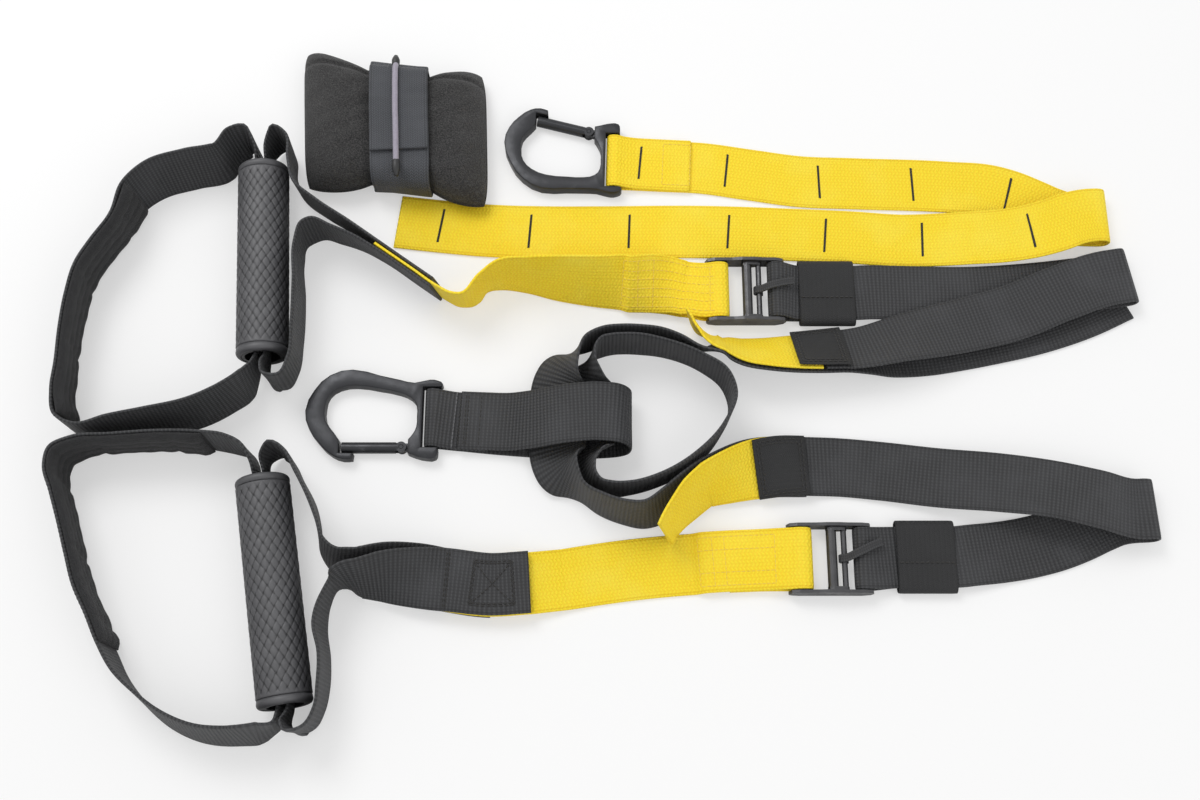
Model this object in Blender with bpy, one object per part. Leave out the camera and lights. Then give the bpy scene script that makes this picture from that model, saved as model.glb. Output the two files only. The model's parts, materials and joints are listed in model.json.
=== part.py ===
"""Suspension trainer laid out flat, as closed solids in metres."""
import bpy
import bmesh
import math
from mathutils import Matrix, Vector

for old in list(bpy.data.objects):
    bpy.data.objects.remove(old, do_unlink=True)

# Overall layout
LAID_LENGTH = 0.710
CENTRE_SHARE = 0.020
SIDE_CENTRE_SHARE = 0.0056

# Webbing
STRAP_WIDTH = 0.038
STRAP_THICKNESS = 0.002
PLY_GAP = 0.0003
CLEARANCE = 0.0003
PLY = STRAP_THICKNESS + PLY_GAP
NARROW_SHARE = 0.45

# Grips
GRIP_RADIUS = 0.0165
TUBE_RADIUS = 0.0130
BORE_RADIUS = 0.0110
COLLAR_LENGTH = 0.005
STRAP_APART = 0.0030

# Foot cradle lining
LINING_THICKNESS = 0.0050
LINING_WIDTH = 0.036

# Carabiners
MAIN_LENGTH = 0.0855
MAIN_HEIGHT = 0.0585
ANCHOR_LENGTH = 0.0790
ANCHOR_HEIGHT = 0.0585
ANCHOR_SKEW_SHARE = 0.24
ANCHOR_TURN = -1.5
HOOK_THICKNESS = 0.0088
HOOK_ROUNDING = 0.0009
SLOT_PIN_RADIUS = 0.0020
SLOT_PIN_LENGTH = 0.0430
GATE_RADIUS = 0.0036
TONGUE_RADIUS = 0.0031
TONGUE_THICKNESS = 0.0040
TONGUE_NECK = 0.0048
HINGE_PIN_RADIUS = 0.0012
GATE_SEAT_GAP = 0.0011

# Cam buckles
BUCKLE_LENGTH = 0.052
PLATE_THICKNESS = 0.0020
PLATE_HEIGHT = 0.0120
BAR_RADIUS = 0.0025
CAM_RADIUS = 0.0032
CAM_PIN_RADIUS = 0.0012
ARM_THICKNESS = 0.0020
PULL_BAR_RADIUS = 0.0018
ROLLER_RADIUS = 0.0032
ROLLER_PIN_RADIUS = 0.0015
BAR_HEIGHT = 0.0065
PULL_WIDTH = 0.0048
PULL_THICKNESS = 0.0016

# Keepers and patches
KEEPER_LENGTH = 0.036
KEEPER_THICKNESS = 0.0014
PATCH_THICKNESS = 0.0012

# Door anchor
PAD_HEIGHT = 0.026
PAD_CROWN = 0.005
DOOR_STRAP_WIDTH = 0.0388
DOOR_STRAP_THICKNESS = 0.0020
TIE_RADIUS = 0.0019
TIE_STOP_RADIUS = 0.0040

SMOOTH_STEPS = 3

collection = bpy.data.collections.new("suspension_trainer")
bpy.context.scene.collection.children.link(collection)
cutters = bpy.data.collections.new("cutters")
bpy.context.scene.collection.children.link(cutters)

COLOURS = {
    "black_webbing": ((0.028, 0.028, 0.030, 1), 0.75, 0.0),
    "yellow_webbing": ((0.93, 0.70, 0.04, 1), 0.72, 0.0),
    "gunmetal": ((0.16, 0.16, 0.17, 1), 0.34, 0.9),
    "dark_steel": ((0.30, 0.30, 0.31, 1), 0.36, 0.9),
    "grip_rubber": ((0.055, 0.056, 0.060, 1), 0.7, 0.0),
    "hard_plastic": ((0.03, 0.03, 0.032, 1), 0.5, 0.0),
    "felt": ((0.05, 0.05, 0.055, 1), 0.95, 0.0),
    "grey_webbing": ((0.22, 0.22, 0.23, 1), 0.8, 0.0),
    "tie_cord": ((0.42, 0.38, 0.45, 1), 0.7, 0.0),
}

HALF_SHARE = 0.5


def material(slot):
    """One Principled material for each slot name."""
    found = bpy.data.materials.get(slot)
    if found:
        return found
    colour, rough, metal = COLOURS[slot]
    made = bpy.data.materials.new(slot)
    made.use_nodes = True
    shader = made.node_tree.nodes["Principled BSDF"]
    shader.inputs["Base Color"].default_value = colour
    shader.inputs["Roughness"].default_value = rough
    shader.inputs["Metallic"].default_value = metal
    made.diffuse_color = colour
    return made


def link(name, mesh, slot, home=None):
    """Make an object from a mesh in the trainer's collection."""
    piece = bpy.data.objects.new(name, mesh)
    (home or collection).objects.link(piece)
    mesh.materials.clear()
    mesh.materials.append(material(slot))
    return piece


def tidy(mesh):
    """Weld doubles and turn the faces outward."""
    shape = bmesh.new()
    shape.from_mesh(mesh)
    bmesh.ops.remove_doubles(shape, verts=shape.verts, dist=PLY_GAP / 6)
    bmesh.ops.recalc_face_normals(shape, faces=shape.faces)
    shape.to_mesh(mesh)
    shape.free()
    return mesh


def bake(piece):
    """Give the piece its modified mesh and clear its modifiers."""
    bpy.context.view_layer.update()
    graph = bpy.context.evaluated_depsgraph_get()
    mesh = bpy.data.meshes.new_from_object(piece.evaluated_get(graph))
    slot = piece.active_material.name
    piece.modifiers.clear()
    piece.data = tidy(mesh)
    piece.data.materials.clear()
    piece.data.materials.append(material(slot))
    return piece


def combine(piece, others, operation):
    """Add or cut each of the other solids, then keep the result."""
    for other in others:
        change = piece.modifiers.new(operation.lower(), "BOOLEAN")
        change.operation = operation
        change.solver = "EXACT"
        change.object = other
        other.hide_render = True
        other.display_type = "WIRE"
    bake(piece)
    for other in others:
        bpy.data.objects.remove(other, do_unlink=True)
    return piece


def rod(name, start, end, radius, slot, sides=20, home=None):
    """A plain cylinder between two points."""
    start = Vector(start)
    end = Vector(end)
    shape = bmesh.new()
    length = (end - start).length
    bmesh.ops.create_cone(shape, cap_ends=True, segments=sides,
                          radius1=radius, radius2=radius, depth=length)
    turn = (end - start).to_track_quat("Z", "Y").to_matrix().to_4x4()
    shape.transform(Matrix.Translation((start + end) * HALF_SHARE) @ turn)
    mesh = bpy.data.meshes.new(name)
    shape.to_mesh(mesh)
    shape.free()
    return link(name, mesh, slot, home)


def block(name, low, high, slot, home=None):
    """A box between two corners."""
    low = Vector(low)
    high = Vector(high)
    shape = bmesh.new()
    bmesh.ops.create_cube(shape, size=1)
    size = high - low
    place = Matrix.Translation((low + high) * HALF_SHARE)
    shape.transform(place @ Matrix.Diagonal((size.x, size.y, size.z, 1)))
    mesh = bpy.data.meshes.new(name)
    shape.to_mesh(mesh)
    shape.free()
    return link(name, mesh, slot, home)


def tube(name, start, end, outer, inner, slot, sides=28):
    """A hollow cylinder between two points."""
    body = rod(name, start, end, outer, slot, sides)
    reach = (Vector(end) - Vector(start)).normalized() * inner
    bore = rod("bore", Vector(start) - reach, Vector(end) + reach, inner, slot, sides, cutters)
    return combine(body, [bore], "DIFFERENCE")


def move(piece, matrix):
    """Place a finished mesh by a matrix."""
    piece.data.transform(matrix)
    if matrix.is_negative:
        piece.data.flip_normals()
    piece.data.update()
    return piece


def spot(x_share, y_share, height=0):
    """A point on the layout from its two shares of the laid length."""
    across = (x_share - SIDE_CENTRE_SHARE) * LAID_LENGTH
    along = (y_share - CENTRE_SHARE) * LAID_LENGTH
    return Vector((across, along, height))


def leaning(heading, lean):
    """The unit direction across a strap, towards its upper edge."""
    turn = math.radians(heading)
    rise = math.radians(lean)
    return Vector((math.cos(rise) * math.cos(turn), math.cos(rise) * math.sin(turn), math.sin(rise)))


def laid(rows, ply=0):
    """Stations (middle, across, width) from rows of x, y, lift, heading, lean and width shares."""
    stations = []
    for row in rows:
        width = STRAP_WIDTH * (row[5] if len(row) > 5 else 1)
        across = leaning(row[3], row[4])
        foot = abs(across.z) * width * HALF_SHARE
        rest = math.hypot(across.x, across.y) * STRAP_THICKNESS * HALF_SHARE
        stations.append([spot(row[0], row[1], row[2] * STRAP_WIDTH + foot + rest), across, width])
    return raised(stations, ply) if ply else stations


def raised(stations, count):
    """The same stations moved by a number of plies, on the side that faces up."""
    result = []
    last = len(stations) - 1
    for index, (middle, across, width) in enumerate(stations):
        ahead = stations[min(index + 1, last)][0] - stations[max(index - 1, 0)][0]
        face = ahead.cross(across).normalized()
        if face.z < 0:
            face = -face
        result.append([middle + face * PLY * count, across, width])
    return result


def smooth(stations, closed=False, steps=None):
    """Points between the stations on a curve through them all, even where they lie unevenly."""
    steps = steps or SMOOTH_STEPS
    count = len(stations)
    spans = count if closed else count - 1
    gaps = [(stations[(k + 1) % count][0] - stations[k][0]).length for k in range(spans)]
    slopes = [slope_at(stations, gaps, k, closed) for k in range(count)]
    result = []
    for index in range(spans):
        after = (index + 1) % count
        for step in range(steps):
            share = step / steps
            values = []
            for k in range(3):
                ends = (stations[index][k], stations[after][k])
                pull = (slopes[index][k] * gaps[index], slopes[after][k] * gaps[index])
                values.append(hermite(ends, pull, share))
            result.append(values)
    if not closed:
        result.append(list(stations[-1]))
    return square_up(result, closed)


def slope_at(stations, gaps, index, closed):
    """How fast the middle, direction and width change along the path at one station."""
    count = len(stations)
    before = (index - 1) % count if closed else max(index - 1, 0)
    after = (index + 1) % count if closed else min(index + 1, count - 1)
    first = gaps[before] if closed or index else gaps[0]
    second = gaps[index] if closed or index < count - 1 else gaps[-1]
    values = []
    for k in range(3):
        here = stations[index][k]
        back = (here - stations[before][k]) * (1 / first)
        ahead = (stations[after][k] - here) * (1 / second)
        if not closed and index == 0:
            back = ahead
        if not closed and index == count - 1:
            ahead = back
        values.append((back * second + ahead * first) * (1 / (first + second)))
    return values


def hermite(ends, pull, share):
    """A cubic between two values with a given slope at each."""
    square = share * share
    cube = square * share
    start = ends[0] * (cube * 2 - square * 3 + 1) + ends[1] * (square * 3 - cube * 2)
    return start + pull[0] * (cube - square * 2 + share) + pull[1] * (cube - square)


def square_up(stations, closed=False):
    """Turn each across direction square to the path and keep every corner off the floor."""
    count = len(stations)
    result = []
    for index, (middle, across, width) in enumerate(stations):
        if closed:
            ahead = stations[(index + 1) % count][0] - stations[index - 1][0]
        else:
            ahead = stations[min(index + 1, count - 1)][0] - stations[max(index - 1, 0)][0]
        ahead = ahead.normalized()
        across = (across - ahead * across.dot(ahead)).normalized()
        face = ahead.cross(across)
        reach = abs(across.z) * width * HALF_SHARE + abs(face.z) * STRAP_THICKNESS * HALF_SHARE
        low = middle.z - reach
        if low < 0:
            middle = middle - Vector((0, 0, low))
        result.append([middle, across, width])
    return result


def strip(name, stations, slot, thickness=STRAP_THICKNESS, closed=False):
    """One flat strap through its stations, as thick at every station."""
    shape = bmesh.new()
    count = len(stations)
    rings = []
    for index, (middle, across, width) in enumerate(stations):
        after = (index + 1) % count if closed else min(index + 1, count - 1)
        before = index - 1 if closed else max(index - 1, 0)
        ahead = stations[after][0] - stations[before][0]
        face = ahead.cross(across).normalized() * thickness * HALF_SHARE
        half = across * width * HALF_SHARE
        corners = (middle - half - face, middle + half - face, middle + half + face, middle - half + face)
        rings.append([shape.verts.new(corner) for corner in corners])
    spans = count if closed else count - 1
    for index in range(spans):
        near = rings[index]
        far = rings[(index + 1) % count]
        for start, end in ((0, 1), (1, 2), (3, 2), (0, 3)):
            shape.faces.new((near[start], far[start], far[end]))
            shape.faces.new((near[start], far[end], near[end]))
    if not closed:
        shape.faces.new(rings[0])
        shape.faces.new(rings[-1])
    mesh = bpy.data.meshes.new(name)
    shape.to_mesh(mesh)
    shape.free()
    tidy(mesh)
    return link(name, mesh, slot)


# Carabiner outline in shares of its length and height, with its corners marked
HOOK_OUTLINE_SHARES = (
    (-0.080, 0.372, 0), (-0.043, 0.410, 0), (0.016, 0.421, 0), (0.129, 0.386, 0),
    (0.239, 0.419, 0), (0.386, 0.468, 0), (0.593, 0.537, 0), (0.758, 0.472, 0),
    (0.869, 0.301, 0), (0.927, 0.068, 0), (0.890, -0.140, 0), (0.812, -0.300, 0),
    (0.715, -0.428, 0), (0.630, -0.475, 0), (0.565, -0.470, 1), (0.560, -0.403, 1),
    (0.664, -0.401, 1), (0.666, -0.258, 1), (0.706, -0.178, 0), (0.772, -0.043, 0),
    (0.780, 0.120, 0), (0.758, 0.239, 0), (0.684, 0.323, 0), (0.558, 0.352, 0),
    (0.386, 0.315, 0), (0.239, 0.270, 0), (0.150, 0.209, 0), (0.108, 0.120, 0),
    (0.103, 0.000, 0), (0.105, -0.111, 0), (0.131, -0.197, 0), (0.161, -0.252, 1),
    (0.161, -0.405, 1), (0.105, -0.438, 0), (0.023, -0.465, 0), (-0.042, -0.455, 0),
    (-0.056, -0.402, 0), (-0.054, -0.338, 1), (0.064, -0.337, 1), (0.064, 0.337, 1),
    (-0.065, 0.337, 1),
)
HINGE_SHARE = (0.2105, -0.3316)
NOSE_SHARE = (0.6620, -0.3316)
SKEW_START_SHARE = 0.12


def hook_point(share, size):
    """A point of the carabiner in its own plane, from the slot pin's middle."""
    length, height, skew = size
    along = share[0] * length
    beyond = max(0.0, along - SKEW_START_SHARE * length)
    return Vector((along, share[1] * height - skew * beyond, 0))


def hook_blank(name, size, slot):
    """The carabiner's outline filled, thickened and rounded."""
    curve = bpy.data.curves.new(name, "CURVE")
    curve.dimensions = "2D"
    curve.fill_mode = "BOTH"
    curve.resolution_u = 2
    curve.extrude = HOOK_THICKNESS * HALF_SHARE - HOOK_ROUNDING
    curve.bevel_depth = HOOK_ROUNDING
    curve.bevel_resolution = 1
    curve.offset = -HOOK_ROUNDING
    spline = curve.splines.new("BEZIER")
    spline.bezier_points.add(len(HOOK_OUTLINE_SHARES) - 1)
    for point, share in zip(spline.bezier_points, HOOK_OUTLINE_SHARES):
        point.co = hook_point(share, size)
        kind = "VECTOR" if share[2] else "AUTO"
        point.handle_left_type = kind
        point.handle_right_type = kind
    spline.use_cyclic_u = True
    source = bpy.data.objects.new(name + "_outline", curve)
    collection.objects.link(source)
    bpy.context.view_layer.update()
    graph = bpy.context.evaluated_depsgraph_get()
    mesh = bpy.data.meshes.new_from_object(source.evaluated_get(graph))
    bpy.data.objects.remove(source, do_unlink=True)
    return link(name, tidy(mesh), slot)


def carabiner(prefix, size, place):
    """Body with slot pin and tongue, gate and hinge pin."""
    metal = "gunmetal"
    body = hook_blank(prefix + "_body", size, metal)
    hinge = hook_point(HINGE_SHARE, size)
    nose = hook_point(NOSE_SHARE, size)
    along = nose - hinge
    turn = Matrix.Rotation(math.atan2(along.y, along.x), 4, "Z")
    gate_place = Matrix.Translation(hinge) @ turn
    up = Vector((0, 0, HOOK_THICKNESS))
    side = Vector((0, SLOT_PIN_LENGTH * HALF_SHARE, 0))
    pin = rod("slot_pin", -side, side, SLOT_PIN_RADIUS, metal, 20, cutters)
    half_tongue = Vector((0, 0, TONGUE_THICKNESS * HALF_SHARE))
    tongue = rod("tongue", hinge - half_tongue, hinge + half_tongue, TONGUE_RADIUS, metal, 24, cutters)
    neck_low = Vector((-GATE_RADIUS - PLATE_THICKNESS * 2, -TONGUE_NECK * HALF_SHARE, -half_tongue.z))
    neck_high = Vector((0, TONGUE_NECK * HALF_SHARE, half_tongue.z))
    neck = block("neck", neck_low, neck_high, metal, cutters)
    move(neck, gate_place)
    combine(body, [pin, tongue, neck], "UNION")
    hole = rod("hole", hinge - up, hinge + up, HINGE_PIN_RADIUS + CLEARANCE, metal, 16, cutters)
    combine(body, [hole], "DIFFERENCE")
    reach = along.length - GATE_SEAT_GAP
    heel = HINGE_PIN_RADIUS + CLEARANCE * 2
    gate = rod(prefix + "_gate", (heel, 0, 0), (reach, 0, 0), GATE_RADIUS, metal, 24)
    half_gate = Vector((0, 0, GATE_RADIUS - CLEARANCE))
    knuckle = rod("knuckle", -half_gate, half_gate, GATE_RADIUS - CLEARANCE, metal, 24, cutters)
    combine(gate, [knuckle], "UNION")
    slit = TONGUE_THICKNESS * HALF_SHARE + CLEARANCE
    wide = GATE_RADIUS * 2
    fork = block("fork", (-wide, -wide, -slit), (TONGUE_RADIUS + CLEARANCE * 2, wide, slit), metal, cutters)
    hole = rod("hole", -up, up, HINGE_PIN_RADIUS + CLEARANCE, metal, 16, cutters)
    combine(gate, [fork, hole], "DIFFERENCE")
    move(gate, gate_place)
    pin = rod(prefix + "_gate_pin", hinge - half_gate, hinge + half_gate, HINGE_PIN_RADIUS, metal, 16)
    for piece in (body, gate, pin):
        move(piece, place)
    return body, gate, pin


def carabiners():
    """The main carabiner on the anchor loop and the one on the extension strap."""
    lying = HOOK_THICKNESS * HALF_SHARE
    flip = Matrix.Rotation(math.pi, 4, "Y")
    place = Matrix.Translation(spot(*MAIN_PIN_SHARE, lying)) @ flip
    carabiner("main_carabiner", (MAIN_LENGTH, MAIN_HEIGHT, 0), place)
    flip = Matrix.Rotation(math.pi + math.radians(ANCHOR_TURN), 4, "Z")
    place = Matrix.Translation(spot(*ANCHOR_PIN_SHARE, lying)) @ flip
    carabiner("anchor_carabiner", (ANCHOR_LENGTH, ANCHOR_HEIGHT, ANCHOR_SKEW_SHARE), place)


MAIN_PIN_SHARE = (-0.1497, -0.0192)
ANCHOR_PIN_SHARE = (0.0120, 0.2345)


# Cam buckle places as shares of its length, from the slot end
SLOT_SHARE = 0.20
CAM_SHARE = 0.52
PULL_SHARE = 0.665
ROLLER_SHARE = 0.875
SIDE_OUTLINE_SHARES = (
    (0.00, 0.30), (0.03, 0.12), (0.12, 0.0), (0.86, 0.0), (0.96, 0.20), (0.99, 0.50),
    (0.97, 0.76), (0.88, 0.90), (0.74, 0.92), (0.60, 1.00), (0.46, 1.00), (0.34, 0.92),
    (0.12, 0.90), (0.03, 0.74),
)
LEVER_OUTLINE_SHARES = (
    (-0.065, 0.50), (-0.045, 0.32), (0.0, 0.25), (0.08, 0.33), (0.16, 0.42), (0.185, 0.54),
    (0.165, 0.68), (0.12, 0.74), (0.0, 0.78), (-0.045, 0.70),
)
BUCKLE_INNER = STRAP_WIDTH + CLEARANCE * 4


def plate(name, outline, length, height, low, high, slot):
    """A side plate: an outline in the upright plane, thick from low to high across it."""
    shape = bmesh.new()
    rings = []
    for side in (low, high):
        rings.append([shape.verts.new((x * length, side, y * height)) for x, y in outline])
    shape.faces.new(rings[0])
    shape.faces.new(list(reversed(rings[1])))
    count = len(outline)
    for index in range(count):
        after = (index + 1) % count
        shape.faces.new((rings[0][index], rings[1][index], rings[1][after], rings[0][after]))
    mesh = bpy.data.meshes.new(name)
    shape.to_mesh(mesh)
    shape.free()
    return link(name, tidy(mesh), slot)


def cam_buckle(letter, place):
    """Frame, cam lever, cam pin, roller and the pull loop of one cam buckle."""
    metal = "dark_steel"
    inner = BUCKLE_INNER * HALF_SHARE
    outer = inner + PLATE_THICKNESS
    height = BAR_HEIGHT
    frame = plate("buckle_frame_" + letter, SIDE_OUTLINE_SHARES, BUCKLE_LENGTH, PLATE_HEIGHT, inner,
        outer, metal)
    far = plate("far", SIDE_OUTLINE_SHARES, BUCKLE_LENGTH, PLATE_HEIGHT, -outer, -inner, metal)
    reach = inner + PLATE_THICKNESS * HALF_SHARE
    slot_x = SLOT_SHARE * BUCKLE_LENGTH
    cam_x = CAM_SHARE * BUCKLE_LENGTH
    pull_x = PULL_SHARE * BUCKLE_LENGTH
    roller_x = ROLLER_SHARE * BUCKLE_LENGTH
    bar = rod("bar", (slot_x, -reach, height), (slot_x, reach, height), BAR_RADIUS, metal, 20, cutters)
    pin = rod("pin", (roller_x, -reach, height), (roller_x, reach, height), ROLLER_PIN_RADIUS, metal, 16,
        cutters)
    combine(frame, [far, bar, pin], "UNION")
    beyond = outer + PLATE_THICKNESS
    hole_radius = CAM_PIN_RADIUS + CLEARANCE
    hole = rod("hole", (cam_x, -beyond, height), (cam_x, beyond, height), hole_radius, metal, 16, cutters)
    combine(frame, [hole], "DIFFERENCE")
    pieces = [frame]
    cam_pin = rod("cam_pin_" + letter, (cam_x, -outer, height), (cam_x, outer, height), CAM_PIN_RADIUS,
        metal, 16)
    pieces.append(cam_pin)
    room = inner - CLEARANCE
    inside = room - ARM_THICKNESS * HALF_SHARE
    lever = rod("cam_lever_" + letter, (cam_x, -inside, height), (cam_x, inside, height), CAM_RADIUS,
        metal, 20)
    arms = []
    arm_base = height - PLATE_HEIGHT * HALF_SHARE
    for side in (-1, 1):
        low, high = sorted((side * room, side * (room - ARM_THICKNESS)))
        arm = plate("arm", LEVER_OUTLINE_SHARES, BUCKLE_LENGTH, PLATE_HEIGHT, low, high, metal)
        move(arm, Matrix.Translation((cam_x, 0, arm_base)))
        arms.append(arm)
    span = room - ARM_THICKNESS * HALF_SHARE
    grip_bar = rod("grip_bar", (pull_x, -span, height), (pull_x, span, height), PULL_BAR_RADIUS, metal,
        16, cutters)
    combine(lever, arms + [grip_bar], "UNION")
    hole = rod("hole", (cam_x, -beyond, height), (cam_x, beyond, height), hole_radius, metal, 16, cutters)
    combine(lever, [hole], "DIFFERENCE")
    pieces.append(lever)
    roller_room = inner - CLEARANCE
    roller_bore = ROLLER_PIN_RADIUS + CLEARANCE
    start = (roller_x, -roller_room, height)
    end = (roller_x, roller_room, height)
    pieces.append(tube("roller_" + letter, start, end, ROLLER_RADIUS, roller_bore, metal, 20))
    for piece in pieces:
        move(piece, place)
    return place


# Strap routes: x, y, lift, heading, lean and width shares
EXTENSION_ROWS = (
    (-0.1888, 0.1748, 0.0, 93, 0), (-0.1480, 0.1700, 0.0, 90, 0), (-0.1072, 0.1660, 0.0, 86, 0),
    (-0.0500, 0.1640, 0.0, 88, 0), (0.0000, 0.1640, 0.0, 90, 0), (0.0932, 0.1645, 0.0, 89, 0),
    (0.1862, 0.1612, 0.0, 88, 0), (0.2360, 0.1587, 0.0, 87, 0), (0.2790, 0.1555, 0.0, 88, 0),
    (0.3150, 0.1553, 0.05, 90, 0), (0.3420, 0.1550, 0.140, 90, 0), (0.3711, 0.1558, 0.19, 92, 0),
    (0.4000, 0.1595, 0.25, 98, 0), (0.4220, 0.1655, 0.28, 106, 0), (0.4370, 0.1712, 0.28, 101, 0),
)
EXTENSION_RETURN_ROWS = (
    (0.4400, 0.1772, 0.02, 82, 0), (0.4240, 0.1832, 0.01, 67, 0), (0.4060, 0.1925, 0.0, 63, 0),
    (0.3880, 0.2010, 0.0, 68, 0), (0.3700, 0.2068, 0.0, 76, 0), (0.3290, 0.2107, 0.0, 88, 0),
    (0.2360, 0.2145, 0.0, 87, 0), (0.1888, 0.2165, 0.0, 88, 0), (0.1419, 0.2235, 0.0, 88, 0),
    (0.0947, 0.2307, 0.0, 88, 0), (0.0600, 0.2325, 0.0, 88, 0), (0.0250, 0.2342, 0.0, 90, 0),
)
LEG_A_ROWS = (
    (-0.1985, 0.1335, 0.0, 57, 99), (-0.1640, 0.1087, 0.0, 57, 99), (-0.1400, 0.0915, 0.0, 57, 99),
    (-0.1310, 0.0868, 0.0, 65, 99), (-0.1215, 0.0862, 0.0, 75, 99), (-0.1120, 0.0935, 0.0, 45, 98),
    (-0.1042, 0.1036, 0.0, 70, 92),
    (-0.0921, 0.1098, 0.0, 90, 83), (-0.0644, 0.1105, 0.0, 90, 74), (-0.0367, 0.1080, 0.0, 90, 62),
    (0.0000, 0.1060, 0.0, 90, 50), (0.0229, 0.1065, 0.0, 90, 40), (0.0458, 0.1080, 0.0, 90, 24),
    (0.0630, 0.1078, 0.0, 90, 8), (0.0800, 0.1045, 0.0, 90, 0),
)
LEG_B_ROWS = (
    (-0.0300, -0.1628, 0.0, 86, -2), (0.0000, -0.1580, 0.0, 90, 0), (0.0473, -0.1521, 0.0, 89, 0),
    (0.0860, -0.1490, 0.0, 88, 0), (0.1100, -0.1475, 0.0, 88, 0), (0.1330, -0.1465, 0.0, 89, 0),
)
TAB_A_START_ROWS = (
    (0.0800, 0.0700, 0.0, 25, -80), (0.0845, 0.0620, 0.0, 45, -80), (0.0925, 0.0540, 0.03, 58, -72),
    (0.1015, 0.0475, 0.07, 68, -61),
)
STACK_A_ROWS = (
    (0.1099, 0.0395, 0.0, 76, -58), (0.1287, 0.0355, 0.0, 82, -49), (0.1487, 0.0345, 0.0, 87, -44),
    (0.1700, 0.0352, 0.0, 92, -39), (0.1940, 0.0368, 0.0, 94, -35), (0.2185, 0.0391, 0.0, 95, -31),
)
UPPER_A_ROWS = (
    (0.2311, 0.0405, 0.02, 90, -29), (0.2727, 0.0508, 0.09, 87, -20), (0.3297, 0.0664, 0.09, 89, -6),
    (0.3739, 0.0790, 0.13, 98, 0), (0.4221, 0.0985, 0.17, 106, 0), (0.4612, 0.1115, 0.185, 103, 0),
)
RETURN_A_ROWS = (
    (0.4600, 0.1120, 0.082, 99, 0),
    (0.4000, 0.1045, 0.082, 95, 0), (0.3436, 0.1005, 0.085, 90, 0), (0.2741, 0.1012, 0.090, 90, 0),
    (0.2450, 0.1014, 0.108, 90, 0), (0.2340, 0.1008, 0.112, 90, 0), (0.2070, 0.1006, 0.112, 90, 0),
    (0.1910, 0.1007, 0.112, 90, 0), (0.1810, 0.1010, 0.114, 90, 0),
)
LOWER_A_ROWS = (
    (0.4760, 0.1020, 0.0, 92, 0), (0.4400, 0.0850, 0.0, 92, 0), (0.4000, 0.0710, 0.0, 92, 0),
    (0.3500, 0.0590, 0.0, 90, 0), (0.3023, 0.0500, 0.0, 88, 0), (0.2600, 0.0440, 0.0, 90, -10),
    (0.2360, 0.0408, 0.0, 93, -24),
)
CROSSING_ROWS = (
    (0.0889, 0.0385, 0.0, 82, -76), (0.0718, 0.0450, 0.0, 84, -84), (0.0542, 0.0495, 0.0, 88, -89),
    (0.0368, 0.0515, 0.0, 90, -90), (0.0178, 0.0520, 0.0, 96, -90), (0.0020, 0.0500, 0.0, 108, -90),
    (-0.0140, 0.0430, 0.0, 130, -86), (-0.0270, 0.0300, 0.02, 156, -62), (-0.0345, 0.0140, 0.066, 176, -30),
    (-0.0370, 0.0020, 0.066, 180, -20), (-0.0370, -0.0220, 0.066, 180, -18),
    (-0.0370, -0.0510, 0.066, 180, -20),
    (-0.0345, -0.0630, 0.066, 184, -30), (-0.0275, -0.0780, 0.02, 202, -62),
    (-0.0150, -0.0915, 0.0, 225, -84),
    (0.0010, -0.1020, 0.0, 244, -82), (0.0200, -0.1090, 0.0, 256, -80),
    (0.0391, -0.1110, 0.0, 275, -76), (0.0562, -0.1030, 0.0, 298, -70), (0.0720, -0.0925, 0.0, 305, -64),
)
STACK_B_ROWS = (
    (0.0892, -0.0820, 0.0, 303, -57), (0.1098, -0.0740, 0.0, 292, -44), (0.1292, -0.0680, 0.0, 278, -28),
    (0.1537, -0.0640, 0.0, 272, -12), (0.1800, -0.0632, 0.0, 268, 0),
)
TAB_B_START_ROWS = (
    (0.0550, -0.1300, 0.13, 338, -74), (0.0598, -0.1205, 0.13, 334, -73), (0.0675, -0.1095, 0.09, 324, -69),
    (0.0785, -0.0970, 0.06, 312, -62),
)
UPPER_B_ROWS = (
    (0.2101, -0.0632, 0.02, 267, 0), (0.2461, -0.0670, 0.05, 267, 0), (0.2952, -0.0746, 0.16, 270, 0),
    (0.3463, -0.0815, 0.32, 265, 3), (0.3924, -0.0900, 0.44, 259, 8), (0.4290, -0.0985, 0.46, 260, 5),
)
RETURN_B_ROWS = (
    (0.4480, -0.1068, 0.02, 282, 0), (0.4330, -0.1125, 0.0, 291, 0), (0.4150, -0.1208, 0.0, 294, 0),
    (0.3939, -0.1288, 0.0, 288, 0), (0.3700, -0.1350, 0.0, 281, 0), (0.3452, -0.1393, 0.03, 277, 0),
    (0.3200, -0.1425, 0.095, 272, 0),
    (0.3080, -0.1440, 0.112, 270, 0), (0.2800, -0.1440, 0.112, 270, 0), (0.2640, -0.1443, 0.112, 270, 0),
    (0.2540, -0.1446, 0.114, 270, 0),
)
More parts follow.
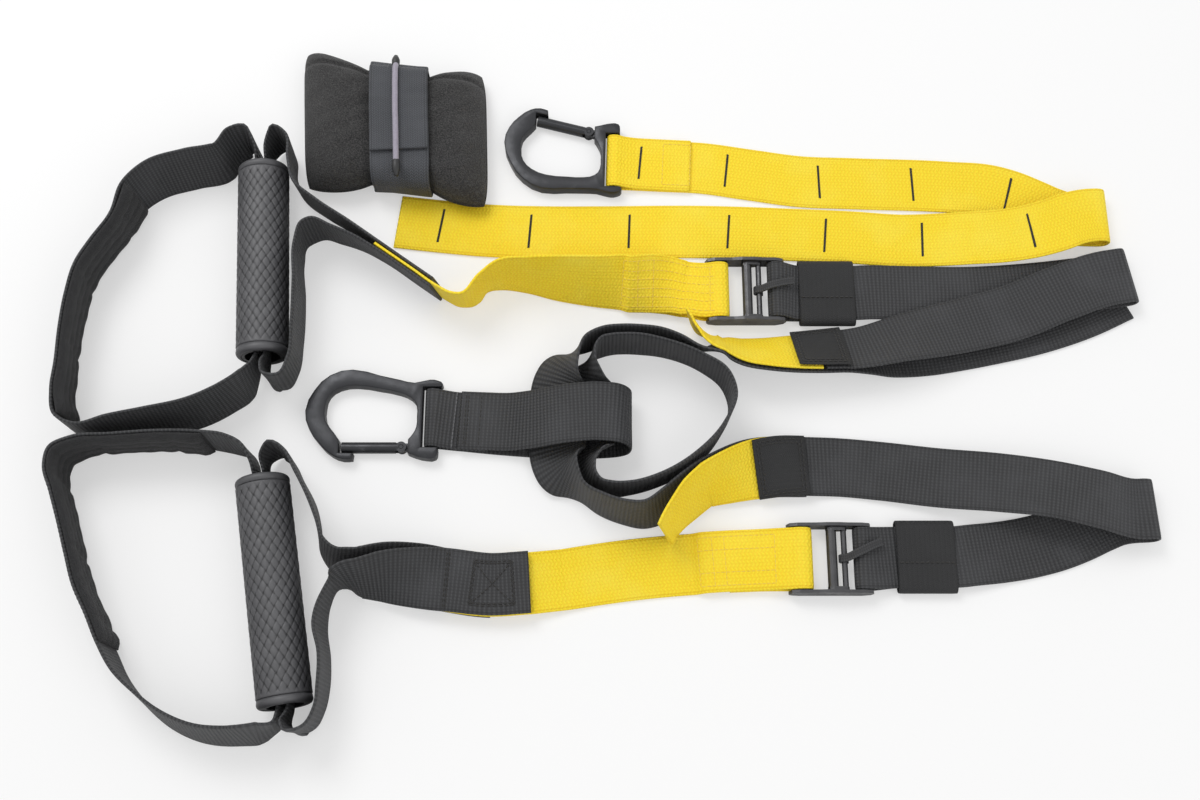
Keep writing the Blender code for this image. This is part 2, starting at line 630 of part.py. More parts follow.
RING_ROWS = (
    (-0.0120, -0.0220, 0.066, 0, 18), (-0.0120, 0.0020, 0.066, 0, 20), (-0.0119, 0.0110, 0.066, 0, 34),
    (-0.0114, 0.0190, 0.02, 0, 56), (-0.0095, 0.0275, 0.0, 350, 74), (-0.0055, 0.0355, 0.0, 330, 84),
    (0.0015, 0.0410, 0.0, 305, 90), (0.0110, 0.0435, 0.0, 286, 90), (0.0220, 0.0442, 0.0, 275, 90),
    (0.0360, 0.0436, 0.0, 268, 90), (0.0542, 0.0405, 0.0, 256, 88), (0.0900, 0.0265, 0.0, 240, 88),
    (0.1100, 0.0110, 0.0, 210, 91), (0.1165, -0.0094, 0.0, 180, 92), (0.1058, -0.0359, 0.0, 160, 92),
    (0.0819, -0.0630, 0.0, 135, 90), (0.0528, -0.0800, 0.0, 112, 92), (0.0264, -0.0880, 0.0, 94, 92),
    (0.0100, -0.0890, 0.0, 75, 90), (0.0010, -0.0865, 0.0, 55, 90), (-0.0055, -0.0815, 0.0, 30, 84),
    (-0.0095, -0.0740, 0.0, 10, 74), (-0.0114, -0.0655, 0.02, 0, 56), (-0.0119, -0.0575, 0.066, 0, 34),
    (-0.0120, -0.0490, 0.066, 0, 20),
)
ANCHOR_LOOP_TOP_ROWS = (
    (-0.1243, -0.0214, 0.135, 90, 0), (-0.1000, -0.0225, 0.140, 90, 0), (-0.0820, -0.0235, 0.17, 90, 0),
    (-0.0640, -0.0245, 0.34, 90, 0),
    (-0.0300, -0.0235, 0.64, 90, 0), (0.0000, -0.0225, 0.71, 90, 0), (0.0180, -0.0235, 0.64, 90, 0),
    (0.0265, -0.0250, 0.38, 90, 0), (0.0225, -0.0265, 0.10, 90, 0), (0.0110, -0.0275, 0.0, 90, 0),
    (-0.0283, -0.0285, 0.0, 90, 0), (-0.0886, -0.0250, 0.0, 90, 0), (-0.1243, -0.0214, 0.0, 90, 0),
)
ANCHOR_LOOP_RETURN_ROWS = (
    (-0.1390, -0.0200, 0.12, 90, 0), (-0.1300, -0.0208, 0.075, 90, 0), (-0.1180, -0.0216, 0.060, 90, 0),
    (-0.0980, -0.0226, 0.060, 90, 0),
)
REAR_A_ROWS = (
    (-0.1460, 0.0998, 0.0, 57, 99), (-0.1620, 0.1113, 0.0, 57, 99), (-0.1965, 0.1364, 0.0, 57, 99),
    (-0.2250, 0.1565, 0.0, 59, 98), (-0.2556, 0.1765, 0.0, 55, 96), (-0.2770, 0.1946, 0.0, 40, 94),
    (-0.2853, 0.2156, 0.0, 15, 88), (-0.2890, 0.2400, 0.0, 40, 88), (-0.2990, 0.2475, 0.0, 60, 90),
    (-0.3075, 0.2360, 0.09, 0, 90, 0.75),
)
FRONT_A_ROWS = (
    (-0.2960, 0.0200, 0.09, 0, 90, 0.75), (-0.2900, 0.0090, 0.0, 300, 86), (-0.2790, 0.0090, 0.0, 300, 86),
    (-0.2715, 0.0243, 0.0, 350, 88), (-0.2700, 0.0526, 0.0, 0, 90), (-0.2711, 0.0966, 0.0, 0, 90),
    (-0.2736, 0.1320, 0.0, 0, 88), (-0.2700, 0.1500, 0.0, 20, 86), (-0.2590, 0.1560, 0.0, 55, 92),
    (-0.2400, 0.1500, 0.0, 57, 96), (-0.2200, 0.1420, 0.0, 57, 98), (-0.2005, 0.1306, 0.0, 57, 99),
    (-0.1660, 0.1058, 0.0, 57, 99), (-0.1480, 0.0929, 0.0, 57, 99),
)
CRADLE_A_ROWS = (
    (-0.3185, 0.2350, 0.09, 180, 90, 0.75), (-0.3272, 0.2465, 0.0, 120, 87),
    (-0.3385, 0.2420, 0.0, 110, 80),
    (-0.3500, 0.2250, 0.0, 100, 75), (-0.3790, 0.2170, 0.0, 98, 74), (-0.4116, 0.2058, 0.0, 110, 76),
    (-0.4293, 0.1892, 0.0, 130, 82), (-0.4405, 0.1598, 0.0, 150, 92), (-0.4563, 0.1344, 0.0, 150, 94),
    (-0.4667, 0.1137, 0.0, 160, 94), (-0.4729, 0.0814, 0.0, 172, 95), (-0.4749, 0.0523, 0.0, 176, 96),
    (-0.4745, 0.0188, 0.0, 178, 96), (-0.4741, -0.0073, 0.0, 190, 94), (-0.4670, -0.0290, 0.0, 230, 90),
    (-0.4478, -0.0374, 0.0, 268, 90), (-0.4223, -0.0330, 0.0, 272, 96), (-0.3919, -0.0282, 0.0, 275, 100),
    (-0.3540, -0.0200, 0.0, 285, 102), (-0.3300, -0.0080, 0.0, 310, 100), (-0.3110, 0.0060, 0.0, 325, 96),
    (-0.3055, 0.0190, 0.09, 0, 90, 0.75),
)
CRADLE_B_ROWS = (
    (-0.2990, -0.0660, 0.09, 180, 90, 0.75), (-0.3060, -0.0550, 0.0, 150, 88),
    (-0.3200, -0.0490, 0.0, 110, 86),
    (-0.3400, -0.0455, 0.0, 95, 88), (-0.3776, -0.0430, 0.0, 90, 92), (-0.4170, -0.0448, 0.0, 95, 94),
    (-0.4518, -0.0489, 0.0, 110, 92), (-0.4680, -0.0580, 0.0, 140, 91), (-0.4714, -0.0743, 0.0, 175, 93),
    (-0.4642, -0.0964, 0.0, 185, 95), (-0.4549, -0.1228, 0.0, 190, 96), (-0.4458, -0.1491, 0.0, 192, 96),
    (-0.4354, -0.1766, 0.0, 200, 95), (-0.4225, -0.2001, 0.0, 210, 95), (-0.4090, -0.2238, 0.0, 215, 92),
    (-0.3952, -0.2464, 0.0, 218, 94), (-0.3763, -0.2656, 0.0, 225, 98), (-0.3518, -0.2835, 0.0, 240, 101),
    (-0.3254, -0.2937, 0.0, 255, 102), (-0.2990, -0.2957, 0.0, 270, 102), (-0.2760, -0.2930, 0.0, 290, 100),
    (-0.2640, -0.2870, 0.09, 345, 90, 0.75),
)
UPPER_LEG_B_ROWS = (
    (-0.2890, -0.0620, 0.09, 10, 90, 0.75), (-0.2800, -0.0545, 0.0, 60, 88),
    (-0.2700, -0.0600, 0.0, 45, 88),
    (-0.2595, -0.0774, 0.0, 20, 88), (-0.2475, -0.0992, 0.0, 10, 88), (-0.2400, -0.1200, 0.0, 12, 84),
    (-0.2352, -0.1390, 0.0, 25, 78), (-0.2230, -0.1515, 0.0, 60, 72),
)
LOWER_LEG_B_ROWS = (
    (-0.2555, -0.2860, 0.09, 345, 90, 0.75), (-0.2480, -0.2920, 0.0, 300, 88),
    (-0.2370, -0.2880, 0.0, 310, 88),
    (-0.2296, -0.2740, 0.0, 340, 88), (-0.2275, -0.2560, 0.0, 0, 90), (-0.2282, -0.2310, 0.0, 0, 90),
    (-0.2332, -0.2058, 0.0, 0, 92), (-0.2300, -0.1850, 0.0, 15, 88), (-0.2215, -0.1695, 0.0, 45, 80),
)
JOINT_B_ROWS = (
    (-0.2067, -0.1560, 0.0, 66, 62), (-0.1847, -0.1560, 0.0, 78, 46), (-0.1600, -0.1590, 0.0, 82, 28),
    (-0.1313, -0.1640, 0.0, 85, 8), (-0.0925, -0.1690, 0.0, 86, 0), (-0.0600, -0.1670, 0.0, 84, 0),
)
LINING_A_SPAN = (6, 15)
LINING_B_SPAN = (3, 15)

# Grip ends
GRIP_A_FAR_SHARE = (-0.3127, 0.2190)
GRIP_A_NEAR_SHARE = (-0.2999, 0.0320)
GRIP_B_FAR_SHARE = (-0.2918, -0.0790)
GRIP_B_NEAR_SHARE = (-0.2580, -0.2720)
BUCKLE_A_SHARE = (0.0965, 0.1020)
BUCKLE_B_SHARE = (0.1610, -0.1462)
KEEPER_A_SHARE = (0.2070, 0.1006)
KEEPER_B_SHARE = (0.2800, -0.1440)

# Door pad corners: near left, near right, far left, far right
PAD_CORNER_SHARES = ((-0.2740, 0.2004), (-0.1045, 0.1815), (-0.2855, 0.3480), (-0.1105, 0.3235))
WRAP_PLACE_SHARE = 0.54
TIE_START_SHARE = 0.16
TIE_END_SHARE = 0.84


def bore(far_share, near_share, side, depths):
    """Stations inside a grip, at distances from its far end, to one side of its axis."""
    far = spot(*far_share, GRIP_RADIUS)
    near = spot(*near_share, GRIP_RADIUS)
    along = (near - far).normalized()
    beside = Vector((-along.y, along.x, 0)) * side * STRAP_APART
    stations = []
    for depth in depths:
        stations.append([far + along * depth + beside, Vector((0, 0, 1)), STRAP_WIDTH * NARROW_SHARE])
    return stations


def grip_span(far_share, near_share):
    """The distance between the grip's two ends."""
    return (spot(*near_share) - spot(*far_share)).length


def at_buckle(place, x, z, side=0, width=STRAP_WIDTH):
    """A station at a place in a buckle's own frame."""
    across = (place.to_3x3() @ Vector((0, 1, 0))).normalized()
    return [place @ Vector((x, side, z)), across, width]


def round_bar(place, x, z, radius, degrees, side=0, width=STRAP_WIDTH, flip=1):
    """Stations round a bar of a buckle, at angles from its forward side."""
    stations = []
    for angle in degrees:
        turn = math.radians(angle)
        station = at_buckle(place, x + radius * math.cos(turn), z + radius * math.sin(turn), side, width)
        station[1] = station[1] * flip
        stations.append(station)
    return stations


def buckle_place(share):
    """The buckle's placement from the shares of its slot end."""
    return Matrix.Translation(spot(*share))


STACK_GAP_SHARE = 1.45
FOLD_GAP_SHARE = 1.9
JOINT_GAP_SHARE = 2.0
STEPS = SMOOTH_STEPS


def slot_wrap(place):
    """Stations of a strap over, round and back under a buckle's slot bar."""
    turn = BAR_RADIUS + CLEARANCE + STRAP_THICKNESS * HALF_SHARE
    slot_x = SLOT_SHARE * BUCKLE_LENGTH
    back = BAR_RADIUS * 4
    route = [at_buckle(place, slot_x - back, BAR_HEIGHT + turn * HALF_SHARE)]
    route += round_bar(place, slot_x, BAR_HEIGHT, turn, (90, 45, 0, -45, -90))
    return route + [at_buckle(place, slot_x - back, STRAP_THICKNESS * HALF_SHARE)]


def leg_straps():
    """The two leg straps, each folded round its buckle's slot bar."""
    base = smooth(laid(LEG_A_ROWS))
    tail = base[LEG_A_TAIL_ROW * STEPS:]
    split = (LEG_A_TAIL_ROW - 1) * STEPS
    over = raised(base[split + 1:], FOLD_GAP_SHARE)
    wrap = smooth([over[-2], over[-1]] + slot_wrap(buckle_place(BUCKLE_A_SHARE)) + [tail[-1], tail[-2]])
    route = base[:split] + over[:-2] + wrap + list(reversed(tail[:-2]))
    strip("leg_strap_a", square_up(route), "yellow_webbing")
    joint = smooth(laid(JOINT_B_ROWS))
    base = smooth(laid(LEG_B_ROWS))
    tail = base[LEG_B_TAIL_ROW * STEPS:]
    split = (LEG_B_TAIL_ROW - 1) * STEPS
    over = raised(base[split + 1:], STACK_GAP_SHARE)
    first = raised(joint, JOINT_GAP_SHARE)[LEG_B_JOINT_ROW * STEPS:]
    wrap = smooth([over[-2], over[-1]] + slot_wrap(buckle_place(BUCKLE_B_SHARE)) + [tail[-1], tail[-2]])
    route = first + base[:split] + over[:-2] + wrap + list(reversed(tail[:-2]))
    strip("leg_strap_b", square_up(route), "yellow_webbing")


LEG_A_TAIL_ROW = 12
LEG_B_TAIL_ROW = 4
LEG_B_JOINT_ROW = 3


def tail_rows(keeper_share, sign):
    """The tucked tail under a keeper."""
    lift = (KEEPER_THICKNESS + CLEARANCE) / STRAP_WIDTH
    near = KEEPER_LENGTH * HALF_SHARE / LAID_LENGTH
    heading = 90 * sign
    x, y = keeper_share
    return ((x - near, y, lift, heading, 0), (x, y, lift, heading, 0),
        (x + near * HALF_SHARE, y, lift, heading, 0))


def roller_wrap(place, flip):
    """Stations of a strap over its roller and back beneath it."""
    turn = ROLLER_RADIUS + CLEARANCE + STRAP_THICKNESS * HALF_SHARE
    return round_bar(place, ROLLER_SHARE * BUCKLE_LENGTH, BAR_HEIGHT, turn, (65, 90, 135, 180, 225, 270),
        flip=flip)


def stack_samples():
    """The main strap's route and the parts of it that other plies lie on."""
    rows = LOWER_A_ROWS + tuple(reversed(STACK_A_ROWS)) + CROSSING_ROWS + STACK_B_ROWS
    route = smooth(laid(rows))
    start = len(LOWER_A_ROWS) * STEPS
    stack_a = list(reversed(route[start:start + (len(STACK_A_ROWS) - 1) * STEPS + 1]))
    stack_b = route[-(len(STACK_B_ROWS) - 1) * STEPS - 1:]
    return route, stack_a, stack_b


def adjust_straps():
    """Each adjustment strap from its patch, round the far fold and over its roller."""
    route, stack_a, stack_b = stack_samples()
    start = raised(stack_a, STACK_GAP_SHARE)[-STEPS:]
    rest = laid(UPPER_A_ROWS, STACK_GAP_SHARE) + turn_back(*FOLD_A_SHARES) + laid(RETURN_A_ROWS)
    rest += roller_wrap(buckle_place(BUCKLE_A_SHARE), 1) + laid(tail_rows(KEEPER_A_SHARE, 1))
    strip("adjust_strap_a", square_up(start[:-1] + smooth(start[-1:] + rest)), "black_webbing")
    start = raised(stack_b, STACK_GAP_SHARE)[-STEPS:]
    rest = laid(UPPER_B_ROWS) + turn_back(*FOLD_B_SHARES) + laid(RETURN_B_ROWS)
    rest += roller_wrap(buckle_place(BUCKLE_B_SHARE), -1) + laid(tail_rows(KEEPER_B_SHARE, -1))
    strip("adjust_strap_b", square_up(start[:-1] + smooth(start[-1:] + rest)), "black_webbing")


# Folds: the bend's middle in shares, heading along the crease, and lift above and below
FOLD_A_SHARES = (0.4800, 0.1148, 99, 0.27, 0.085)
FOLD_B_SHARES = (0.4725, -0.1045, 272, 0.34, 0.065)
EXTENSION_FOLD_SHARES = (0.4640, 0.1752, 90, 0.27, 0.045)


def turn_back(x_share, y_share, heading, high, low):
    """Stations over the top of a fold, round its edge and back below."""
    radius = (high - low) * STRAP_WIDTH * HALF_SHARE
    centre = spot(x_share, y_share, (high + low) * STRAP_WIDTH * HALF_SHARE + STRAP_THICKNESS * HALF_SHARE)
    across = leaning(heading, 0)
    outward = Vector((abs(across.y), -across.x * math.copysign(1, across.y), 0))
    lead = outward * radius
    stations = [[centre - lead + Vector((0, 0, radius)), across, STRAP_WIDTH]]
    for degrees in (90, 45, 0, -45, -90):
        turn = math.radians(degrees)
        rise = Vector((0, 0, math.sin(turn) * radius))
        stations.append([centre + outward * math.cos(turn) * radius + rise, across, STRAP_WIDTH])
    stations.append([centre - lead - Vector((0, 0, radius)), across, STRAP_WIDTH])
    return stations


def keeper(name, share):
    """A flat sleeve round the strap and its tucked tail."""
    centre = spot(*share)
    low = KEEPER_THICKNESS * HALF_SHARE
    high = KEEPER_THICKNESS * 1.5 + CLEARANCE * 5 + STRAP_THICKNESS * 2
    bend = (high - low) * HALF_SHARE
    half = STRAP_WIDTH * HALF_SHARE + KEEPER_THICKNESS + bend * HALF_SHARE
    middle = low + bend
    route = []
    for side in (1, -1):
        for degrees in (90, 45, 0, -45, -90):
            turn = math.radians(degrees * side)
            y = side * (half - bend + bend * math.cos(turn))
            route.append([centre + Vector((0, y, middle + bend * math.sin(turn))), Vector((1, 0, 0)),
                KEEPER_LENGTH])
    strip(name, route, "black_webbing", KEEPER_THICKNESS, closed=True)


def pull_loop(letter, share, drift):
    """The pull tape round the lever's bar and out over the roller."""
    place = buckle_place(share)
    x = PULL_SHARE * BUCKLE_LENGTH
    roller_x = ROLLER_SHARE * BUCKLE_LENGTH
    turn = PULL_BAR_RADIUS + CLEARANCE + PULL_THICKNESS * HALF_SHARE
    above = BAR_HEIGHT + ROLLER_RADIUS + STRAP_THICKNESS + CLEARANCE * 3 + PULL_THICKNESS * HALF_SHARE
    route = [at_buckle(place, x + turn, BAR_HEIGHT - turn, 0, PULL_WIDTH)]
    route += round_bar(place, x, BAR_HEIGHT, turn, (-90, -135, -180, -225, -270), 0, PULL_WIDTH)
    route += [at_buckle(place, roller_x - ROLLER_RADIUS, above, drift * 0.3, PULL_WIDTH)]
    route += [at_buckle(place, roller_x + PULL_WIDTH, above, drift * 0.7, PULL_WIDTH)]
    route += [at_buckle(place, BUCKLE_LENGTH + PULL_WIDTH, above - PULL_THICKNESS, drift, PULL_WIDTH)]
    strip("pull_loop_" + letter, smooth(route), "black_webbing", PULL_THICKNESS)


def crossing_straps():
    """The main strap and the closed ring, both through the anchor loop, with tabs and patches."""
    route, stack_a, stack_b = stack_samples()
    strip("main_strap", route, "black_webbing")
    strip("stabilizing_loop", smooth(laid(RING_ROWS), closed=True), "black_webbing", closed=True)
    over = raised(stack_a, STACK_GAP_SHARE)
    lead = smooth(laid(TAB_A_START_ROWS) + [over[0]])
    strip("tab_strap_a", square_up(lead[:-1] + over[:-STEPS]), "yellow_webbing")
    over = raised(stack_b, STACK_GAP_SHARE)
    lead = smooth(laid(TAB_B_START_ROWS) + [over[0]])
    strip("tab_strap_b", square_up(lead[:-1] + over[:-STEPS]), "yellow_webbing")
    cover = STACK_GAP_SHARE * 2 - (STRAP_THICKNESS - PATCH_THICKNESS) * HALF_SHARE / PLY
    strip("patch_a", raised(stack_a, cover)[-PATCH_ROWS * STEPS:], "black_webbing", PATCH_THICKNESS)
    strip("patch_b", raised(stack_b, cover)[-PATCH_ROWS * STEPS:], "black_webbing", PATCH_THICKNESS)


PATCH_ROWS = 2


def anchor_loop():
    """The anchor loop over the crossing straps and round the main carabiner's slot pin."""
    pin = spot(*MAIN_PIN_SHARE, HOOK_THICKNESS * HALF_SHARE)
    turn = SLOT_PIN_RADIUS + CLEARANCE + STRAP_THICKNESS * HALF_SHARE
    route = laid(ANCHOR_LOOP_TOP_ROWS)
    for degrees in (-90, -135, -180, -225, -270):
        angle = math.radians(degrees)
        middle = pin + Vector((math.cos(angle), 0, math.sin(angle))) * turn
        route.append([middle, Vector((0, 1, 0)), STRAP_WIDTH])
    route += laid(ANCHOR_LOOP_RETURN_ROWS)
    strip("anchor_loop", smooth(route), "black_webbing")


def extension_strap():
    """The long extension strap, folded once and wrapped round the anchor carabiner's pin."""
    pin = spot(*ANCHOR_PIN_SHARE, HOOK_THICKNESS * HALF_SHARE)
    turn = SLOT_PIN_RADIUS + CLEARANCE + STRAP_THICKNESS * HALF_SHARE
    route = laid(EXTENSION_ROWS) + turn_back(*EXTENSION_FOLD_SHARES) + laid(EXTENSION_RETURN_ROWS)
    facing = Matrix.Rotation(math.radians(ANCHOR_TURN), 3, "Z")
    for degrees in (-90, -135, -180, -225, -270):
        angle = math.radians(degrees)
        middle = pin + facing @ Vector((math.cos(angle), 0, math.sin(angle))) * turn
        route.append([middle, facing @ Vector((0, 1, 0)), STRAP_WIDTH])
    route += laid(EXTENSION_TAIL_ROWS)
    strip("extension_strap", smooth(route), "yellow_webbing")


EXTENSION_TAIL_ROWS = (
    (0.0230, 0.2340, 0.12, 90, 0), (0.0330, 0.2338, 0.075, 90, 0), (0.0500, 0.2330, 0.062, 88, 0),
    (0.0850, 0.2312, 0.060, 88, 0),
)


def handle_straps():
    """The V strap through each grip and the cradle strap round each foot opening."""
    span = grip_span(GRIP_A_FAR_SHARE, GRIP_A_NEAR_SHARE)
    inset = COLLAR_LENGTH * 2
    lead = CLEARANCE * 2
    route = laid(REAR_A_ROWS) + bore(GRIP_A_FAR_SHARE, GRIP_A_NEAR_SHARE, 1,
        (-lead, inset, span - inset, span + lead))
    route += laid(FRONT_A_ROWS)
    strip("handle_strap_a", smooth(route), "black_webbing")
    depth = COLLAR_LENGTH * 3
    route = bore(GRIP_A_FAR_SHARE, GRIP_A_NEAR_SHARE, -1, (depth, -lead)) + laid(CRADLE_A_ROWS)
    route += bore(GRIP_A_FAR_SHARE, GRIP_A_NEAR_SHARE, -1, (span + lead, span - depth))
    strip("cradle_strap_a", smooth(route), "black_webbing")
    span = grip_span(GRIP_B_FAR_SHARE, GRIP_B_NEAR_SHARE)
    joint = smooth(laid(JOINT_B_ROWS))
    rear = list(reversed(joint[:-STEPS]))
    front = raised(joint, JOINT_GAP_SHARE * 2)
    middle = rear[-1:] + list(reversed(laid(UPPER_LEG_B_ROWS)))
    middle += bore(GRIP_B_FAR_SHARE, GRIP_B_NEAR_SHARE, 1, (-lead, inset, span - inset, span + lead))
    middle += laid(LOWER_LEG_B_ROWS) + front[:1]
    strip("handle_strap_b", square_up(rear[:-1] + smooth(middle) + front[1:]), "black_webbing")
    route = bore(GRIP_B_FAR_SHARE, GRIP_B_NEAR_SHARE, -1, (depth, -lead)) + laid(CRADLE_B_ROWS)
    route += bore(GRIP_B_FAR_SHARE, GRIP_B_NEAR_SHARE, -1, (span + lead, span - depth))
    strip("cradle_strap_b", smooth(route), "black_webbing")


def grip(letter, far_share, near_share):
    """Rubber sleeve, hard tube and two end collars on one axis."""
    far = spot(*far_share, GRIP_RADIUS)
    near = spot(*near_share, GRIP_RADIUS)
    along = (near - far).normalized()
    step = along * COLLAR_LENGTH
    gap = along * CLEARANCE
    tube("grip_tube_" + letter, far + gap, near - gap, TUBE_RADIUS, BORE_RADIUS, "hard_plastic")
    sleeve_bore = TUBE_RADIUS + CLEARANCE
    start = far + step + gap
    end = near - step - gap
    tube("grip_sleeve_" + letter, start, end, GRIP_RADIUS, sleeve_bore, "grip_rubber")
    tube("grip_collar_far_" + letter, far, far + step, GRIP_RADIUS, sleeve_bore, "hard_plastic")
    tube("grip_collar_near_" + letter, near - step, near, GRIP_RADIUS, sleeve_bore, "hard_plastic")


# Lining section: places across its width and the fullness there, in shares
LINING_SECTION_SHARES = ((-1.0, 0.30), (-0.85, 0.72), (-0.45, 0.96), (0.0, 1.0), (0.45, 0.96),
    (0.85, 0.72), (1.0, 0.30))
CHANNEL_FULLNESS_SHARE = 0.72


def lining(name, rows, inside):
    """Padded felt on the inner face of a foot cradle, with sewn channels across it."""
    stations = smooth(laid(rows))
    offset = STRAP_THICKNESS * HALF_SHARE + CLEARANCE * 2
    shape = bmesh.new()
    rings = []
    last = len(stations) - 1
    for index, (middle, across, width) in enumerate(stations):
        ahead = stations[min(index + 1, last)][0] - stations[max(index - 1, 0)][0]
        face = ahead.cross(across).normalized()
        if face.dot(inside - middle) < 0:
            face = -face
        end = min(index, last - index)
        full = CHANNEL_FULLNESS_SHARE if index % 4 == 0 else 1
        full = HALF_SHARE if end == 0 else full
        ring = []
        back = middle + face * offset
        for place, share in LINING_SECTION_SHARES:
            depth = face * LINING_THICKNESS * share * full
            ring.append(shape.verts.new(back + across * place * LINING_WIDTH * HALF_SHARE + depth))
        ring.append(shape.verts.new(back + across * LINING_WIDTH * HALF_SHARE))
        ring.append(shape.verts.new(back - across * LINING_WIDTH * HALF_SHARE))
        rings.append(ring)
    loft(shape, rings)
    mesh = bpy.data.meshes.new(name)
    shape.to_mesh(mesh)
    shape.free()
    return link(name, tidy(mesh), "felt")


def loft(shape, rings):
    """Join closed rings in turn and cap both ends."""
    count = len(rings[0])
    for index in range(len(rings) - 1):
        for corner in range(count):
            after = (corner + 1) % count
            shape.faces.new((rings[index][corner], rings[index][after], rings[index + 1][after],
                rings[index + 1][corner]))
    shape.faces.new(list(reversed(rings[0])))
    shape.faces.new(rings[-1])


def pad_point(a, b):
    """A point of the pad's plan from its shares across and towards the far edge."""
    near_left, near_right, far_left, far_right = [spot(*share) for share in PAD_CORNER_SHARES]
    near = near_left.lerp(near_right, a)
    return near.lerp(far_left.lerp(far_right, a), b)


def pad_rest(b):
    """Height of the pad's underside, over the straps that it lies on."""
    return PLY * (2 - b) + CLEARANCE * 2


def rim(share):
    """Fullness from zero at an edge to one inside it."""
    return max(0.0, 1 - abs(share * 2 - 1) ** PAD_RIM_POWER) ** HALF_SHARE


def pad_height(a, b):
    """Thickness of the pad above its underside."""
    crown = math.sin(math.pi * a) * math.sin(math.pi * b)
    return (PAD_HEIGHT - PAD_CROWN + PAD_CROWN * crown) * (PAD_EDGE_SHARE + (1 - PAD_EDGE_SHARE) * rim(a) * rim(b))


PAD_RIM_POWER = 6
PAD_EDGE_SHARE = 0.35
PAD_ACROSS = 14
PAD_ALONG = 12


def door_pad():
    """The stuffed door pad, crowned, with a seam round its edge."""
    shape = bmesh.new()
    tops = []
    lows = []
    for row in range(PAD_ALONG + 1):
        b = row / PAD_ALONG
        top = []
        low = []
        for column in range(PAD_ACROSS + 1):
            a = column / PAD_ACROSS
            point = pad_point(a, b)
            base = pad_rest(b)
            top.append(shape.verts.new(point + Vector((0, 0, base + pad_height(a, b)))))
            low.append(shape.verts.new(point + Vector((0, 0, base))))
        tops.append(top)
        lows.append(low)
    for row in range(PAD_ALONG):
        for column in range(PAD_ACROSS):
            shape.faces.new((tops[row][column], tops[row][column + 1], tops[row + 1][column + 1],
                tops[row + 1][column]))
            shape.faces.new((lows[row][column], lows[row + 1][column], lows[row + 1][column + 1],
                lows[row][column + 1]))
    for column in range(PAD_ACROSS):
        shape.faces.new((lows[0][column], lows[0][column + 1], tops[0][column + 1], tops[0][column]))
        shape.faces.new((tops[-1][column], tops[-1][column + 1], lows[-1][column + 1], lows[-1][column]))
    for row in range(PAD_ALONG):
        shape.faces.new((lows[row + 1][0], lows[row][0], tops[row][0], tops[row + 1][0]))
        shape.faces.new((tops[row + 1][-1], tops[row][-1], lows[row][-1], lows[row + 1][-1]))
    mesh = bpy.data.meshes.new("door_pad")
    shape.to_mesh(mesh)
    shape.free()
    link("door_pad", tidy(mesh), "felt")


def wrap_path():
    """Places round the pad at the wrap, as share, side and height, going over and back beneath."""
    places = []
    count = PAD_ALONG
    half = DOOR_STRAP_WIDTH * HALF_SHARE / (pad_point(1, 0) - pad_point(0, 0)).length
    for row in range(count + 1):
        b = row / count
        heights = [pad_height(WRAP_PLACE_SHARE + half * k, b) for k in (-1, -HALF_SHARE, 0, HALF_SHARE, 1)]
        places.append((b, pad_rest(b) + max(heights)))
    return places


def door_wrap():
    """The strap round the pad and the tie with its two stops lying on it."""
    rise = CLEARANCE * 2 + DOOR_STRAP_THICKNESS * HALF_SHARE
    across = (pad_point(1, HALF_SHARE) - pad_point(0, HALF_SHARE)).normalized()
    path = wrap_path()
    near = pad_point(WRAP_PLACE_SHARE, 0)
    far = pad_point(WRAP_PLACE_SHARE, 1)
    along = (far - near).normalized()
    route = []
    for index, (b, height) in enumerate(path):
        ahead = path[min(index + 1, len(path) - 1)]
        behind = path[max(index - 1, 0)]
        slope = Vector(((ahead[0] - behind[0]) * (far - near).length, ahead[1] - behind[1]))
        slope.normalize()
        middle = near.lerp(far, b) + along * (-slope.y * rise)
        route.append([middle + Vector((0, 0, height + slope.x * rise)), across, DOOR_STRAP_WIDTH])
    top = [list(station) for station in route]
    for b, side in ((1, 1), (0, -1)):
        base = near.lerp(far, b)
        under = pad_rest(b) - rise
        high = path[-1][1] if b else path[0][1]
        levels = [high - CLEARANCE, pad_rest(b) + CLEARANCE]
        if not b:
            levels.reverse()
        places = [(rise + CLEARANCE * 4, level) for level in levels]
        places.insert(len(places) if b else 0, (-CLEARANCE, under))
        for out, level in places:
            route.append([base + along * side * out + Vector((0, 0, level)), across, DOOR_STRAP_WIDTH])
    strip("door_strap", route, "grey_webbing", DOOR_STRAP_THICKNESS, closed=True)
    tie(top)


